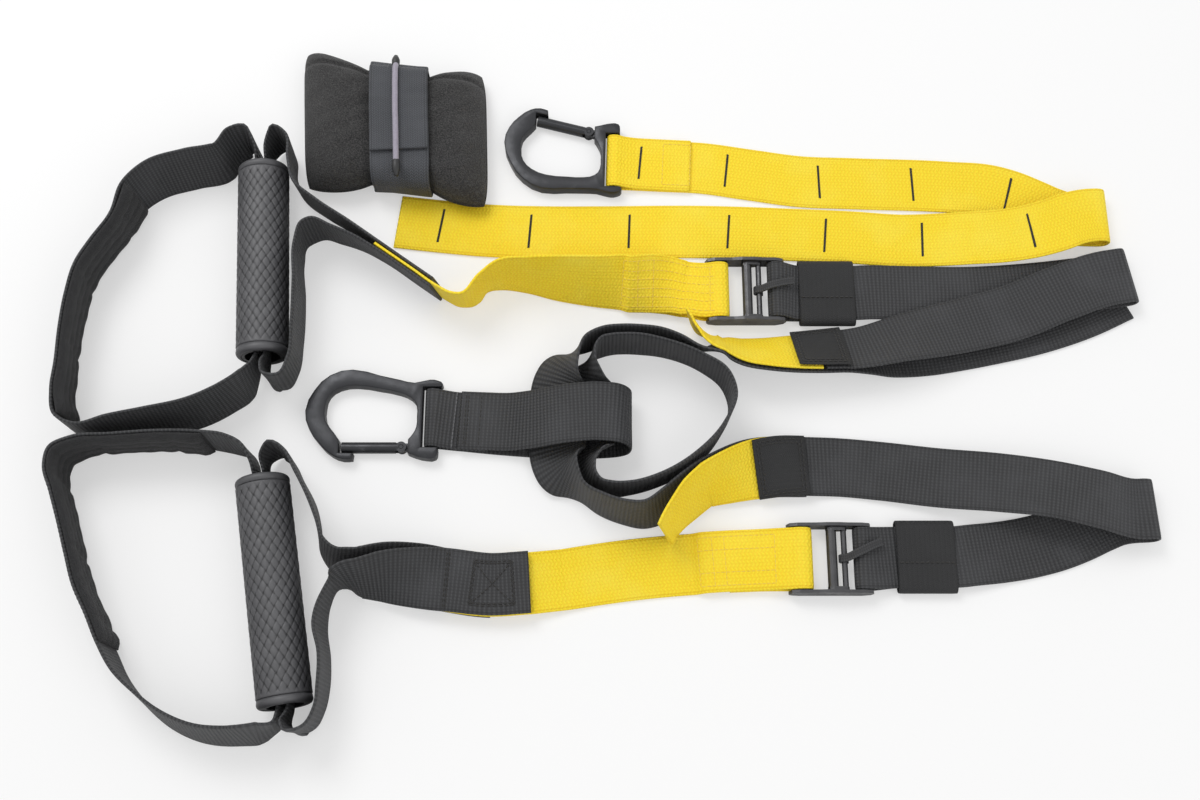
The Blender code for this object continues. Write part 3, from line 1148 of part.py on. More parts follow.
def tie(top):
    """A cord along the wrap's upper face with a stop at each end."""
    rise = DOOR_STRAP_THICKNESS * HALF_SHARE + CLEARANCE * 4 + TIE_RADIUS
    points = []
    for share in (0, 0.2, 0.4, 0.6, 0.8, 1):
        b = TIE_START_SHARE + (TIE_END_SHARE - TIE_START_SHARE) * share
        place = b * (len(top) - 1)
        low = min(int(place), len(top) - 2)
        middle = top[low][0].lerp(top[low + 1][0], place - low)
        points.append(middle + Vector((0, 0, rise)))
    curve = bpy.data.curves.new("door_tie", "CURVE")
    curve.dimensions = "3D"
    curve.bevel_depth = TIE_RADIUS
    curve.bevel_resolution = 2
    curve.use_fill_caps = True
    spline = curve.splines.new("POLY")
    spline.points.add(len(points) - 1)
    for point, place in zip(spline.points, points):
        point.co = (*place, 1)
    source = bpy.data.objects.new("tie_route", curve)
    collection.objects.link(source)
    bpy.context.view_layer.update()
    graph = bpy.context.evaluated_depsgraph_get()
    mesh = bpy.data.meshes.new_from_object(source.evaluated_get(graph))
    bpy.data.objects.remove(source, do_unlink=True)
    cord = link("door_tie", tidy(mesh), "tie_cord")
    stops = []
    lift = Vector((0, 0, TIE_STOP_RADIUS - TIE_RADIUS))
    for end, inner in ((points[0], points[1]), (points[-1], points[-2])):
        along = (inner - end).normalized() * TIE_STOP_RADIUS
        stops.append(rod("stop", end - along + lift, end + along + lift, TIE_STOP_RADIUS, "tie_cord", 16,
            cutters))
    combine(cord, stops, "UNION")


def main():
    """Build every sub-part."""
    carabiners()
    for letter, share in (("a", BUCKLE_A_SHARE), ("b", BUCKLE_B_SHARE)):
        cam_buckle(letter, buckle_place(share))
    leg_straps()
    adjust_straps()
    keeper("keeper_a", KEEPER_A_SHARE)
    keeper("keeper_b", KEEPER_B_SHARE)
    pull_loop("a", BUCKLE_A_SHARE, PULL_WIDTH)
    pull_loop("b", BUCKLE_B_SHARE, PULL_WIDTH * 2)
    crossing_straps()
    anchor_loop()
    extension_strap()
    handle_straps()
    grip("a", GRIP_A_FAR_SHARE, GRIP_A_NEAR_SHARE)
    grip("b", GRIP_B_FAR_SHARE, GRIP_B_NEAR_SHARE)
    low, high = LINING_A_SPAN
    lining("cradle_lining_a", CRADLE_A_ROWS[low:high], spot(*GRIP_A_NEAR_SHARE, GRIP_RADIUS))
    low, high = LINING_B_SPAN
    lining("cradle_lining_b", CRADLE_B_ROWS[low:high], spot(*GRIP_B_FAR_SHARE, GRIP_RADIUS))
    door_pad()
    door_wrap()


main()
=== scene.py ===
"""A suspension trainer laid out flat on a white table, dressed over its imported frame."""
import json
import math
from functools import partialmethod
import bmesh
import bpy
import numpy as np
from mathutils import Matrix, Vector

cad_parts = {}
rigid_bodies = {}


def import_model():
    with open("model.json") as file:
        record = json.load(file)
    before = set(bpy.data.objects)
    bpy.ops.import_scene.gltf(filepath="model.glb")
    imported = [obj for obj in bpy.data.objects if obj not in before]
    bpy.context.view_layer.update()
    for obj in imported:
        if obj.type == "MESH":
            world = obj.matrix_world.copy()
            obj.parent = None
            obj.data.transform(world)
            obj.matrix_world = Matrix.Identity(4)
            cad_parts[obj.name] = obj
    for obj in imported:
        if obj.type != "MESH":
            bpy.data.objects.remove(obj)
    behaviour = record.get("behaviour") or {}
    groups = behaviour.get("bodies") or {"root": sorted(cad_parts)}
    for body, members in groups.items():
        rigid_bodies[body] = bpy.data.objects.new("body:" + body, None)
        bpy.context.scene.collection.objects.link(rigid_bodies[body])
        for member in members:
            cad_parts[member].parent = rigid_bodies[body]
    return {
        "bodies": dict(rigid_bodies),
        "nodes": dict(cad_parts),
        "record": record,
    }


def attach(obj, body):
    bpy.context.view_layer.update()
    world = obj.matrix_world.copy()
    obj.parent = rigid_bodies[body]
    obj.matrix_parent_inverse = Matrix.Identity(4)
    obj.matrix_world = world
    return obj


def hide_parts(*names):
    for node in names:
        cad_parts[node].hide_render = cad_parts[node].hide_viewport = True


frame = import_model()
BODY_OF = {node: body for body, nodes in frame["bodies"].items()
           for node in frame["record"]["behaviour"]["bodies"].get(body, [])}
SLOT_OF = {row["node"]: row["material_slot"] for row in frame["record"]["subparts"]}


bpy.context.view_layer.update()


def shown(name, data):
    """A new object linked to the scene."""
    piece = bpy.data.objects.new(name, data)
    bpy.context.scene.collection.objects.link(piece)
    return piece


# Camera: straight over the near edge, tilted down by 72 degrees
camera_data = bpy.data.cameras.new("camera")
camera_data.lens = 41.1
camera_data.sensor_width = 36.0
camera = shown("camera", camera_data)
camera.location = (-0.0040, -0.2839, 0.830)
camera.rotation_euler = (math.radians(18.0), 0.0, 0.0)
bpy.context.scene.camera = camera

# Overall layout
LAID_LENGTH = 0.710
CENTRE_SHARE = 0.020
SIDE_CENTRE_SHARE = 0.0056

# Webbing
STRAP_WIDTH = 0.038
STRAP_THICKNESS = 0.002
CLEARANCE = 0.0003
PLY = STRAP_THICKNESS + CLEARANCE
NARROW_SHARE = 0.45
FLOOR_CLEARANCE = 0.00002
TABLE_LEVEL = -0.0002

# Grips
GRIP_RADIUS = 0.0165
TUBE_RADIUS = 0.0130
COLLAR_LENGTH = 0.005
STRAP_APART = 0.0030
GRIP_CELLS = 18
GRIP_CELL_LENGTH = 0.0086

# Foot cradle lining
LINING_THICKNESS = 0.0050
LINING_WIDTH = 0.036

# Carabiners
ANCHOR_TURN = -1.5
HOOK_THICKNESS = 0.0088
SLOT_PIN_RADIUS = 0.0020
EDGE_ROUNDING = 0.0009

# Cam buckles
BUCKLE_LENGTH = 0.052
BAR_RADIUS = 0.0025
PULL_BAR_RADIUS = 0.0018
ROLLER_RADIUS = 0.0032
BAR_HEIGHT = 0.0065
PULL_WIDTH = 0.0048
PULL_THICKNESS = 0.0016

# Keepers and patches
KEEPER_LENGTH = 0.036
KEEPER_THICKNESS = 0.0014
PATCH_THICKNESS = 0.0012

# Door anchor
PAD_HEIGHT = 0.026
PAD_LENGTH = 0.118
DOOR_STRAP_WIDTH = 0.0388
DOOR_STRAP_THICKNESS = 0.0020
TIE_RADIUS = 0.0019

STEPS = 8


def spot(x_share, y_share, height=0):
    """A point on the layout from its two shares of the laid length."""
    return Vector(((x_share - SIDE_CENTRE_SHARE) * LAID_LENGTH, (y_share - CENTRE_SHARE) * LAID_LENGTH, height))


def leaning(heading, lean):
    """The unit direction across a strap, towards its upper edge."""
    turn, rise = math.radians(heading), math.radians(lean)
    return Vector((math.cos(rise) * math.cos(turn), math.cos(rise) * math.sin(turn), math.sin(rise)))


def laid(rows, ply=0):
    """Stations (middle, across, width) from rows of x, y, lift and heading, with a lean and a width share
    where they aren't 0 and 1."""
    stations = []
    for x, y, lift, heading, *more in rows:
        lean, share = more + [0, 1][len(more):]
        width = STRAP_WIDTH * share
        across = leaning(heading, lean)
        rest = abs(across.z) * width / 2 + math.hypot(across.x, across.y) * STRAP_THICKNESS / 2
        stations.append([spot(x / 10000, y / 10000, lift / 1000 * STRAP_WIDTH + rest), across, width])
    return raised(stations, ply) if ply else stations


def raised(stations, count):
    """The same stations moved by a number of plies, on the side that faces up."""
    result = []
    last = len(stations) - 1
    for index, (middle, across, width) in enumerate(stations):
        ahead = stations[min(index + 1, last)][0] - stations[max(index - 1, 0)][0]
        face = ahead.cross(across).normalized()
        if face.z < 0:
            face = -face
        result.append([middle + face * PLY * count, across, width])
    return result


def smooth(stations, closed=False):
    """Points between the stations on a curve through them all, even where they lie unevenly."""
    count = len(stations)
    spans = count if closed else count - 1
    gaps = [(stations[(k + 1) % count][0] - stations[k][0]).length for k in range(spans)]
    slopes = [slope_at(stations, gaps, k, closed) for k in range(count)]
    result = []
    for index in range(spans):
        after = (index + 1) % count
        for step in range(STEPS):
            result.append([hermite((stations[index][k], stations[after][k]),
                                   (slopes[index][k] * gaps[index], slopes[after][k] * gaps[index]),
                                   step / STEPS) for k in range(3)])
    if not closed:
        result.append(list(stations[-1]))
    return square_up(result, closed)


def slope_at(stations, gaps, index, closed):
    """How fast the middle, direction and width change along the path at one station."""
    count = len(stations)
    before = (index - 1) % count if closed else max(index - 1, 0)
    after = (index + 1) % count if closed else min(index + 1, count - 1)
    first = gaps[before] if closed or index else gaps[0]
    second = gaps[index] if closed or index < count - 1 else gaps[-1]
    values = []
    for k in range(3):
        back = (stations[index][k] - stations[before][k]) * (1 / first)
        ahead = (stations[after][k] - stations[index][k]) * (1 / second)
        if not closed and index == 0:
            back = ahead
        if not closed and index == count - 1:
            ahead = back
        values.append((back * second + ahead * first) * (1 / (first + second)))
    return values


def hermite(ends, pull, share):
    """A cubic between two values with a given slope at each."""
    square, cube = share * share, share * share * share
    start = ends[0] * (cube * 2 - square * 3 + 1) + ends[1] * (square * 3 - cube * 2)
    return start + pull[0] * (cube - square * 2 + share) + pull[1] * (cube - square)


def square_up(stations, closed=False):
    """Turn each across direction square to the path and keep every corner off the floor."""
    count = len(stations)
    result = []
    for index, (middle, across, width) in enumerate(stations):
        if closed:
            ahead = stations[(index + 1) % count][0] - stations[index - 1][0]
        else:
            ahead = stations[min(index + 1, count - 1)][0] - stations[max(index - 1, 0)][0]
        ahead = ahead.normalized()
        across = (across - ahead * across.dot(ahead)).normalized()
        reach = abs(across.z) * width / 2 + abs(ahead.cross(across).z) * STRAP_THICKNESS / 2
        result.append([middle + Vector((0, 0, max(0.0, reach - middle.z))), across, width])
    return result


# Stations along each strap: x and y in ten-thousandths of the laid length, lift in thousandths of a
# strap width, heading in degrees, then a lean in degrees and a width share where they are not 0 and 1
EXTENSION_ROWS = (
    (-1888, 1748, 0, 93), (-1480, 1700, 0, 90), (-1072, 1660, 0, 86), (-500, 1640, 0, 88), (0, 1640, 0, 90),
    (932, 1645, 0, 89), (1862, 1612, 0, 88), (2360, 1587, 0, 87), (2790, 1555, 0, 88), (3150, 1553, 50, 90),
    (3420, 1550, 140, 90), (3711, 1558, 190, 92), (4000, 1595, 250, 98), (4220, 1655, 280, 106),
    (4370, 1712, 280, 101),
)
EXTENSION_RETURN_ROWS = (
    (4400, 1772, 20, 82), (4240, 1832, 10, 67), (4060, 1925, 0, 63), (3880, 2010, 0, 68), (3700, 2068, 0, 76),
    (3290, 2107, 0, 88), (2360, 2145, 0, 87), (1888, 2165, 0, 88), (1419, 2235, 0, 88), (947, 2307, 0, 88),
    (600, 2325, 0, 88), (250, 2342, 0, 90),
)
LEG_A_ROWS = (
    (-1985, 1335, 0, 57, 99), (-1640, 1087, 0, 57, 99), (-1400, 915, 0, 57, 99), (-1310, 868, 0, 65, 99),
    (-1215, 862, 0, 75, 99), (-1120, 935, 0, 45, 98), (-1042, 1036, 0, 70, 92), (-921, 1098, 0, 90, 83),
    (-644, 1105, 0, 90, 74), (-367, 1080, 0, 90, 62), (0, 1060, 0, 90, 50), (229, 1065, 0, 90, 40),
    (458, 1080, 0, 90, 24), (630, 1078, 0, 90, 8), (800, 1045, 0, 90),
)
LEG_B_ROWS = (
    (-300, -1628, 0, 86, -2), (0, -1580, 0, 90), (473, -1521, 0, 89), (860, -1490, 0, 88),
    (1100, -1475, 0, 88), (1330, -1465, 0, 89),
)
TAB_A_START_ROWS = (
    (800, 700, 0, 25, -80), (845, 620, 0, 45, -80), (925, 540, 30, 58, -72), (1015, 475, 70, 68, -61),
)
STACK_A_ROWS = (
    (1099, 395, 0, 76, -58), (1287, 355, 0, 82, -49), (1487, 345, 0, 87, -44), (1700, 352, 0, 92, -39),
    (1940, 368, 0, 94, -35), (2185, 391, 0, 95, -31),
)
UPPER_A_ROWS = (
    (2311, 405, 20, 90, -29), (2727, 508, 90, 87, -20), (3297, 664, 90, 89, -6), (3739, 790, 130, 98),
    (4221, 985, 170, 106), (4612, 1115, 185, 103),
)
RETURN_A_ROWS = (
    (4600, 1120, 82, 99), (4000, 1045, 82, 95), (3436, 1005, 85, 90), (2741, 1012, 90, 90),
    (2450, 1014, 108, 90), (2340, 1008, 112, 90), (2070, 1006, 112, 90), (1910, 1007, 112, 90),
    (1810, 1010, 114, 90),
)
LOWER_A_ROWS = (
    (4760, 1020, 0, 92), (4400, 850, 0, 92), (4000, 710, 0, 92), (3500, 590, 0, 90), (3023, 500, 0, 88),
    (2600, 440, 0, 90, -10), (2360, 408, 0, 93, -24),
)
CROSSING_ROWS = (
    (889, 385, 0, 82, -76), (718, 450, 0, 84, -84), (542, 495, 0, 88, -89), (368, 515, 0, 90, -90),
    (178, 520, 0, 96, -90), (20, 500, 0, 108, -90), (-140, 430, 0, 130, -86), (-270, 300, 20, 156, -62),
    (-345, 140, 66, 176, -30), (-370, 20, 66, 180, -20), (-370, -220, 66, 180, -18),
    (-370, -510, 66, 180, -20), (-345, -630, 66, 184, -30), (-275, -780, 20, 202, -62),
    (-150, -915, 0, 225, -84), (10, -1020, 0, 244, -82), (200, -1090, 0, 256, -80), (391, -1110, 0, 275, -76),
    (562, -1030, 0, 298, -70), (720, -925, 0, 305, -64),
)
STACK_B_ROWS = (
    (892, -820, 0, 303, -57), (1098, -740, 0, 292, -44), (1292, -680, 0, 278, -28), (1537, -640, 0, 272, -12),
    (1800, -632, 0, 268),
)
TAB_B_START_ROWS = (
    (550, -1300, 130, 338, -74), (598, -1205, 130, 334, -73), (675, -1095, 90, 324, -69),
    (785, -970, 60, 312, -62),
)
UPPER_B_ROWS = (
    (2101, -632, 20, 267), (2461, -670, 50, 267), (2952, -746, 160, 270), (3463, -815, 320, 265, 3),
    (3924, -900, 440, 259, 8), (4290, -985, 460, 260, 5),
)
RETURN_B_ROWS = (
    (4480, -1068, 20, 282), (4330, -1125, 0, 291), (4150, -1208, 0, 294), (3939, -1288, 0, 288),
    (3700, -1350, 0, 281), (3452, -1393, 30, 277), (3200, -1425, 95, 272), (3080, -1440, 112, 270),
    (2800, -1440, 112, 270), (2640, -1443, 112, 270), (2540, -1446, 114, 270),
)
RING_ROWS = (
    (-120, -220, 66, 0, 18), (-120, 20, 66, 0, 20), (-119, 110, 66, 0, 34), (-114, 190, 20, 0, 56),
    (-95, 275, 0, 350, 74), (-55, 355, 0, 330, 84), (15, 410, 0, 305, 90), (110, 435, 0, 286, 90),
    (220, 442, 0, 275, 90), (360, 436, 0, 268, 90), (542, 405, 0, 256, 88), (900, 265, 0, 240, 88),
    (1100, 110, 0, 210, 91), (1165, -94, 0, 180, 92), (1058, -359, 0, 160, 92), (819, -630, 0, 135, 90),
    (528, -800, 0, 112, 92), (264, -880, 0, 94, 92), (100, -890, 0, 75, 90), (10, -865, 0, 55, 90),
    (-55, -815, 0, 30, 84), (-95, -740, 0, 10, 74), (-114, -655, 20, 0, 56), (-119, -575, 66, 0, 34),
    (-120, -490, 66, 0, 20),
)
ANCHOR_LOOP_TOP_ROWS = (
    (-1243, -214, 135, 90), (-1000, -225, 140, 90), (-820, -235, 170, 90), (-640, -245, 340, 90),
    (-300, -235, 640, 90), (0, -225, 710, 90), (180, -235, 640, 90), (265, -250, 380, 90),
    (225, -265, 100, 90), (110, -275, 0, 90), (-283, -285, 0, 90), (-886, -250, 0, 90), (-1243, -214, 0, 90),
)
ANCHOR_LOOP_RETURN_ROWS = (
    (-1390, -200, 120, 90), (-1300, -208, 75, 90), (-1180, -216, 60, 90), (-980, -226, 60, 90),
)
REAR_A_ROWS = (
    (-1460, 998, 0, 57, 99), (-1620, 1113, 0, 57, 99), (-1965, 1364, 0, 57, 99), (-2250, 1565, 0, 59, 98),
    (-2556, 1765, 0, 55, 96), (-2770, 1946, 0, 40, 94), (-2853, 2156, 0, 15, 88), (-2890, 2400, 0, 40, 88),
    (-2990, 2475, 0, 60, 90), (-3075, 2360, 90, 0, 90, 0.75),
)
FRONT_A_ROWS = (
    (-2960, 200, 90, 0, 90, 0.75), (-2900, 90, 0, 300, 86), (-2790, 90, 0, 300, 86), (-2715, 243, 0, 350, 88),
    (-2700, 526, 0, 0, 90), (-2711, 966, 0, 0, 90), (-2736, 1320, 0, 0, 88), (-2700, 1500, 0, 20, 86),
    (-2590, 1560, 0, 55, 92), (-2400, 1500, 0, 57, 96), (-2200, 1420, 0, 57, 98), (-2005, 1306, 0, 57, 99),
    (-1660, 1058, 0, 57, 99), (-1480, 929, 0, 57, 99),
)
CRADLE_A_ROWS = (
    (-3185, 2350, 90, 180, 90, 0.75), (-3272, 2465, 0, 120, 87), (-3385, 2420, 0, 110, 80),
    (-3500, 2250, 0, 100, 75), (-3790, 2170, 0, 98, 74), (-4116, 2058, 0, 110, 76), (-4293, 1892, 0, 130, 82),
    (-4405, 1598, 0, 150, 92), (-4563, 1344, 0, 150, 94), (-4667, 1137, 0, 160, 94), (-4729, 814, 0, 172, 95),
    (-4749, 523, 0, 176, 96), (-4745, 188, 0, 178, 96), (-4741, -73, 0, 190, 94), (-4670, -290, 0, 230, 90),
    (-4478, -374, 0, 268, 90), (-4223, -330, 0, 272, 96), (-3919, -282, 0, 275, 100),
    (-3540, -200, 0, 285, 102), (-3300, -80, 0, 310, 100), (-3110, 60, 0, 325, 96),
    (-3055, 190, 90, 0, 90, 0.75),
)
CRADLE_B_ROWS = (
    (-2990, -660, 90, 180, 90, 0.75), (-3060, -550, 0, 150, 88), (-3200, -490, 0, 110, 86),
    (-3400, -455, 0, 95, 88), (-3776, -430, 0, 90, 92), (-4170, -448, 0, 95, 94), (-4518, -489, 0, 110, 92),
    (-4680, -580, 0, 140, 91), (-4714, -743, 0, 175, 93), (-4642, -964, 0, 185, 95),
    (-4549, -1228, 0, 190, 96), (-4458, -1491, 0, 192, 96), (-4354, -1766, 0, 200, 95),
    (-4225, -2001, 0, 210, 95), (-4090, -2238, 0, 215, 92), (-3952, -2464, 0, 218, 94),
    (-3763, -2656, 0, 225, 98), (-3518, -2835, 0, 240, 101), (-3254, -2937, 0, 255, 102),
    (-2990, -2957, 0, 270, 102), (-2760, -2930, 0, 290, 100), (-2640, -2870, 90, 345, 90, 0.75),
)
UPPER_LEG_B_ROWS = (
    (-2890, -620, 90, 10, 90, 0.75), (-2800, -545, 0, 60, 88), (-2700, -600, 0, 45, 88),
    (-2595, -774, 0, 20, 88), (-2475, -992, 0, 10, 88), (-2400, -1200, 0, 12, 84), (-2352, -1390, 0, 25, 78),
    (-2230, -1515, 0, 60, 72),
)
LOWER_LEG_B_ROWS = (
    (-2555, -2860, 90, 345, 90, 0.75), (-2480, -2920, 0, 300, 88), (-2370, -2880, 0, 310, 88),
    (-2296, -2740, 0, 340, 88), (-2275, -2560, 0, 0, 90), (-2282, -2310, 0, 0, 90), (-2332, -2058, 0, 0, 92),
    (-2300, -1850, 0, 15, 88), (-2215, -1695, 0, 45, 80),
)
JOINT_B_ROWS = (
    (-2067, -1560, 0, 66, 62), (-1847, -1560, 0, 78, 46), (-1600, -1590, 0, 82, 28), (-1313, -1640, 0, 85, 8),
    (-925, -1690, 0, 86), (-600, -1670, 0, 84),
)
EXTENSION_TAIL_ROWS = (
    (230, 2340, 120, 90), (330, 2338, 75, 90), (500, 2330, 62, 88), (850, 2312, 60, 88),
)

LINING_SPANS = {"a": (6, 15), "b": (3, 15)}

# Grip ends (far, near), buckles and keepers as shares of the laid length
GRIPS = {"a": ((-0.3127, 0.2190), (-0.2999, 0.0320)), "b": ((-0.2918, -0.0790), (-0.2580, -0.2720))}
BUCKLES = {"a": (0.0965, 0.1020), "b": (0.1610, -0.1462)}
KEEPERS = {"a": (0.2070, 0.1006), "b": (0.2800, -0.1440)}

PAD_CORNER_SHARES = ((-0.2740, 0.2004), (-0.1045, 0.1815), (-0.2855, 0.3480), (-0.1105, 0.3235))
WRAP_PLACE_SHARE = 0.54
STACK_GAP_SHARE = 1.45
FOLD_GAP_SHARE = 1.9
JOINT_GAP_SHARE = 2.0
LEG_A_TAIL_ROW = 12
LEG_B_TAIL_ROW = 4
LEG_B_JOINT_ROW = 3
FOLD_A_SHARES = (0.4800, 0.1148, 99, 0.27, 0.085)
FOLD_B_SHARES = (0.4725, -0.1045, 272, 0.34, 0.065)
EXTENSION_FOLD_SHARES = (0.4640, 0.1752, 90, 0.27, 0.045)
PATCH_ROWS = 2
MAIN_PIN_SHARE = (-0.1497, -0.0192)
ANCHOR_PIN_SHARE = (0.0120, 0.2345)
SLOT_SHARE = 0.20
ROLLER_SHARE = 0.875
PULL_SHARE = 0.665


def bore(letter, side, depths):
    """Stations inside a grip, at distances from its far end, to one side of its axis."""
    far, near = (spot(*share, GRIP_RADIUS) for share in GRIPS[letter])
    along = (near - far).normalized()
    beside = Vector((-along.y, along.x, 0)) * side * STRAP_APART
    return [[far + along * depth + beside, Vector((0, 0, 1)), STRAP_WIDTH * NARROW_SHARE] for depth in depths]


def at_buckle(place, x, z, side=0, width=STRAP_WIDTH):
    """A station at a place in a buckle's own frame."""
    return [place + Vector((x, side, z)), Vector((0, 1, 0)), width]


def round_bar(place, x, z, radius, degrees, width=STRAP_WIDTH):
    """Stations round a bar, at angles from its forward side."""
    turns = [math.radians(angle) for angle in degrees]
    return [at_buckle(place, x + radius * math.cos(turn), z + radius * math.sin(turn), 0, width)
            for turn in turns]


def slot_wrap(place):
    """Stations of a strap over, round and back under a buckle's slot bar."""
    turn = BAR_RADIUS + CLEARANCE + STRAP_THICKNESS / 2
    slot_x = SLOT_SHARE * BUCKLE_LENGTH
    back = slot_x - BAR_RADIUS * 4
    return ([at_buckle(place, back, BAR_HEIGHT + turn / 2)]
            + round_bar(place, slot_x, BAR_HEIGHT, turn, (90, 45, 0, -45, -90))
            + [at_buckle(place, back, STRAP_THICKNESS / 2)])


def leg_straps():
    """The two leg straps, each folded round its buckle's slot bar; the second starts on the joint."""
    joint = raised(smooth(laid(JOINT_B_ROWS)), JOINT_GAP_SHARE)[LEG_B_JOINT_ROW * STEPS:]
    for letter, rows, tail_row, lift, first in (("a", LEG_A_ROWS, LEG_A_TAIL_ROW, FOLD_GAP_SHARE, []),
                                                ("b", LEG_B_ROWS, LEG_B_TAIL_ROW, STACK_GAP_SHARE, joint)):
        base = smooth(laid(rows))
        tail = base[tail_row * STEPS:]
        split = (tail_row - 1) * STEPS
        over = raised(base[split + 1:], lift)
        wrap = smooth(over[-2:] + slot_wrap(spot(*BUCKLES[letter])) + [tail[-1], tail[-2]])
        route = first + base[:split] + over[:-2] + wrap + tail[-3::-1]
        strip("leg_strap_" + letter, square_up(route), "yellow_webbing")


def stack_samples():
    """The main strap's route and the parts of it that other plies lie on."""
    route = smooth(laid(LOWER_A_ROWS + STACK_A_ROWS[::-1] + CROSSING_ROWS + STACK_B_ROWS))
    start = len(LOWER_A_ROWS) * STEPS
    stack_a = route[start:start + (len(STACK_A_ROWS) - 1) * STEPS + 1][::-1]
    return route, {"a": stack_a, "b": route[-(len(STACK_B_ROWS) - 1) * STEPS - 1:]}


def adjust_straps():
    """Each adjustment strap from its patch, round the far fold, over its roller and under its keeper."""
    stacks = stack_samples()[1]
    turn = ROLLER_RADIUS + CLEARANCE + STRAP_THICKNESS / 2
    lift = (KEEPER_THICKNESS + CLEARANCE) / STRAP_WIDTH * 1000
    reach = KEEPER_LENGTH / 2 / LAID_LENGTH * 10000
    for letter, upper, fold, back, sign in (
            ("a", laid(UPPER_A_ROWS, STACK_GAP_SHARE), FOLD_A_SHARES, RETURN_A_ROWS, 1),
            ("b", laid(UPPER_B_ROWS), FOLD_B_SHARES, RETURN_B_ROWS, -1)):
        start = raised(stacks[letter], STACK_GAP_SHARE)[-STEPS:]
        roller = round_bar(spot(*BUCKLES[letter]), ROLLER_SHARE * BUCKLE_LENGTH, BAR_HEIGHT, turn,
                           (65, 90, 135, 180, 225, 270))
        for station in roller:
            station[1] = station[1] * sign
        x, y = (share * 10000 for share in KEEPERS[letter])
        tail = [(x + reach * step, y, lift, 90 * sign) for step in (-1, 0, 0.5)]
        rest = upper + turn_back(*fold) + laid(back) + roller + laid(tail)
        strip("adjust_strap_" + letter, square_up(start[:-1] + smooth(start[-1:] + rest)), "black_webbing")


def turn_back(x_share, y_share, heading, high, low):
    """Stations over the top of a fold, round its edge and back below."""
    radius = (high - low) * STRAP_WIDTH / 2
    centre = spot(x_share, y_share, (high + low) * STRAP_WIDTH / 2 + STRAP_THICKNESS / 2)
    across = leaning(heading, 0)
    away = Vector((abs(across.y), -across.x * math.copysign(1, across.y), 0)) * radius
    up = Vector((0, 0, radius))
    turns = [math.radians(degrees) for degrees in (90, 45, 0, -45, -90)]
    bend = [centre + away * math.cos(turn) + up * math.sin(turn) for turn in turns]
    return [[middle, across, STRAP_WIDTH] for middle in [centre - away + up] + bend + [centre - away - up]]


def keepers():
    """Two flat sleeves, each round its strap and the tucked tail."""
    low = KEEPER_THICKNESS / 2
    bend = (KEEPER_THICKNESS + CLEARANCE * 5 + STRAP_THICKNESS * 2) / 2
    half = (STRAP_WIDTH + bend) / 2 + KEEPER_THICKNESS
    for letter, share in KEEPERS.items():
        route = []
        for side in (1, -1):
            for degrees in (90, 45, 0, -45, -90):
                turn = math.radians(degrees * side)
                beside = side * (half - bend + bend * math.cos(turn))
                offset = Vector((0, beside, low + bend + bend * math.sin(turn)))
                route.append([spot(*share) + offset, Vector((1, 0, 0)), KEEPER_LENGTH])
        strip("keeper_" + letter, route, "black_webbing", KEEPER_THICKNESS, closed=True)


def pull_loops():
    """The pull tapes, each round its lever's bar and out over the roller."""
    x, roller_x = PULL_SHARE * BUCKLE_LENGTH, ROLLER_SHARE * BUCKLE_LENGTH
    turn = PULL_BAR_RADIUS + CLEARANCE + PULL_THICKNESS / 2
    above = BAR_HEIGHT + ROLLER_RADIUS + STRAP_THICKNESS + CLEARANCE * 3 + PULL_THICKNESS / 2
    for letter, drift in (("a", PULL_WIDTH), ("b", PULL_WIDTH * 2)):
        place = spot(*BUCKLES[letter])
        route = [at_buckle(place, x + turn, BAR_HEIGHT - turn, 0, PULL_WIDTH)]
        route += round_bar(place, x, BAR_HEIGHT, turn, (-90, -135, -180, -225, -270), PULL_WIDTH)
        route += [at_buckle(place, *at, PULL_WIDTH) for at in (
            (roller_x - ROLLER_RADIUS, above, drift * 0.3), (roller_x + PULL_WIDTH, above, drift * 0.7),
            (BUCKLE_LENGTH + PULL_WIDTH, above - PULL_THICKNESS, drift))]
        strip("pull_loop_" + letter, smooth(route), "black_webbing", PULL_THICKNESS)


def crossing_straps():
    """The main strap and the closed ring, both through the anchor loop, with tabs and patches."""
    route, stacks = stack_samples()
    strip("main_strap", route, "black_webbing")
    strip("stabilizing_loop", smooth(laid(RING_ROWS), closed=True), "black_webbing", closed=True)
    cover = STACK_GAP_SHARE * 2 - (STRAP_THICKNESS - PATCH_THICKNESS) / 2 / PLY
    for letter, rows in (("a", TAB_A_START_ROWS), ("b", TAB_B_START_ROWS)):
        over = raised(stacks[letter], STACK_GAP_SHARE)
        lead = smooth(laid(rows) + [over[0]])
        strip("tab_strap_" + letter, square_up(lead[:-1] + over[:-STEPS]), "yellow_webbing")
    for letter in "ab":
        top = raised(stacks[letter], cover)[-PATCH_ROWS * STEPS:]
        strip("patch_" + letter, top, "black_webbing", PATCH_THICKNESS)


def pin_wrap(share, degrees=0.0):
    """Stations round a carabiner's slot pin, which lies across the strap or turned a little."""
    facing = Matrix.Rotation(math.radians(degrees), 3, "Z")
    reach = SLOT_PIN_RADIUS + CLEARANCE + STRAP_THICKNESS / 2
    pin = spot(*share, HOOK_THICKNESS / 2)
    turns = [math.radians(angle) for angle in (-90, -135, -180, -225, -270)]
    return [[pin + facing @ Vector((math.cos(turn), 0, math.sin(turn))) * reach, facing @ Vector((0, 1, 0)),
             STRAP_WIDTH] for turn in turns]


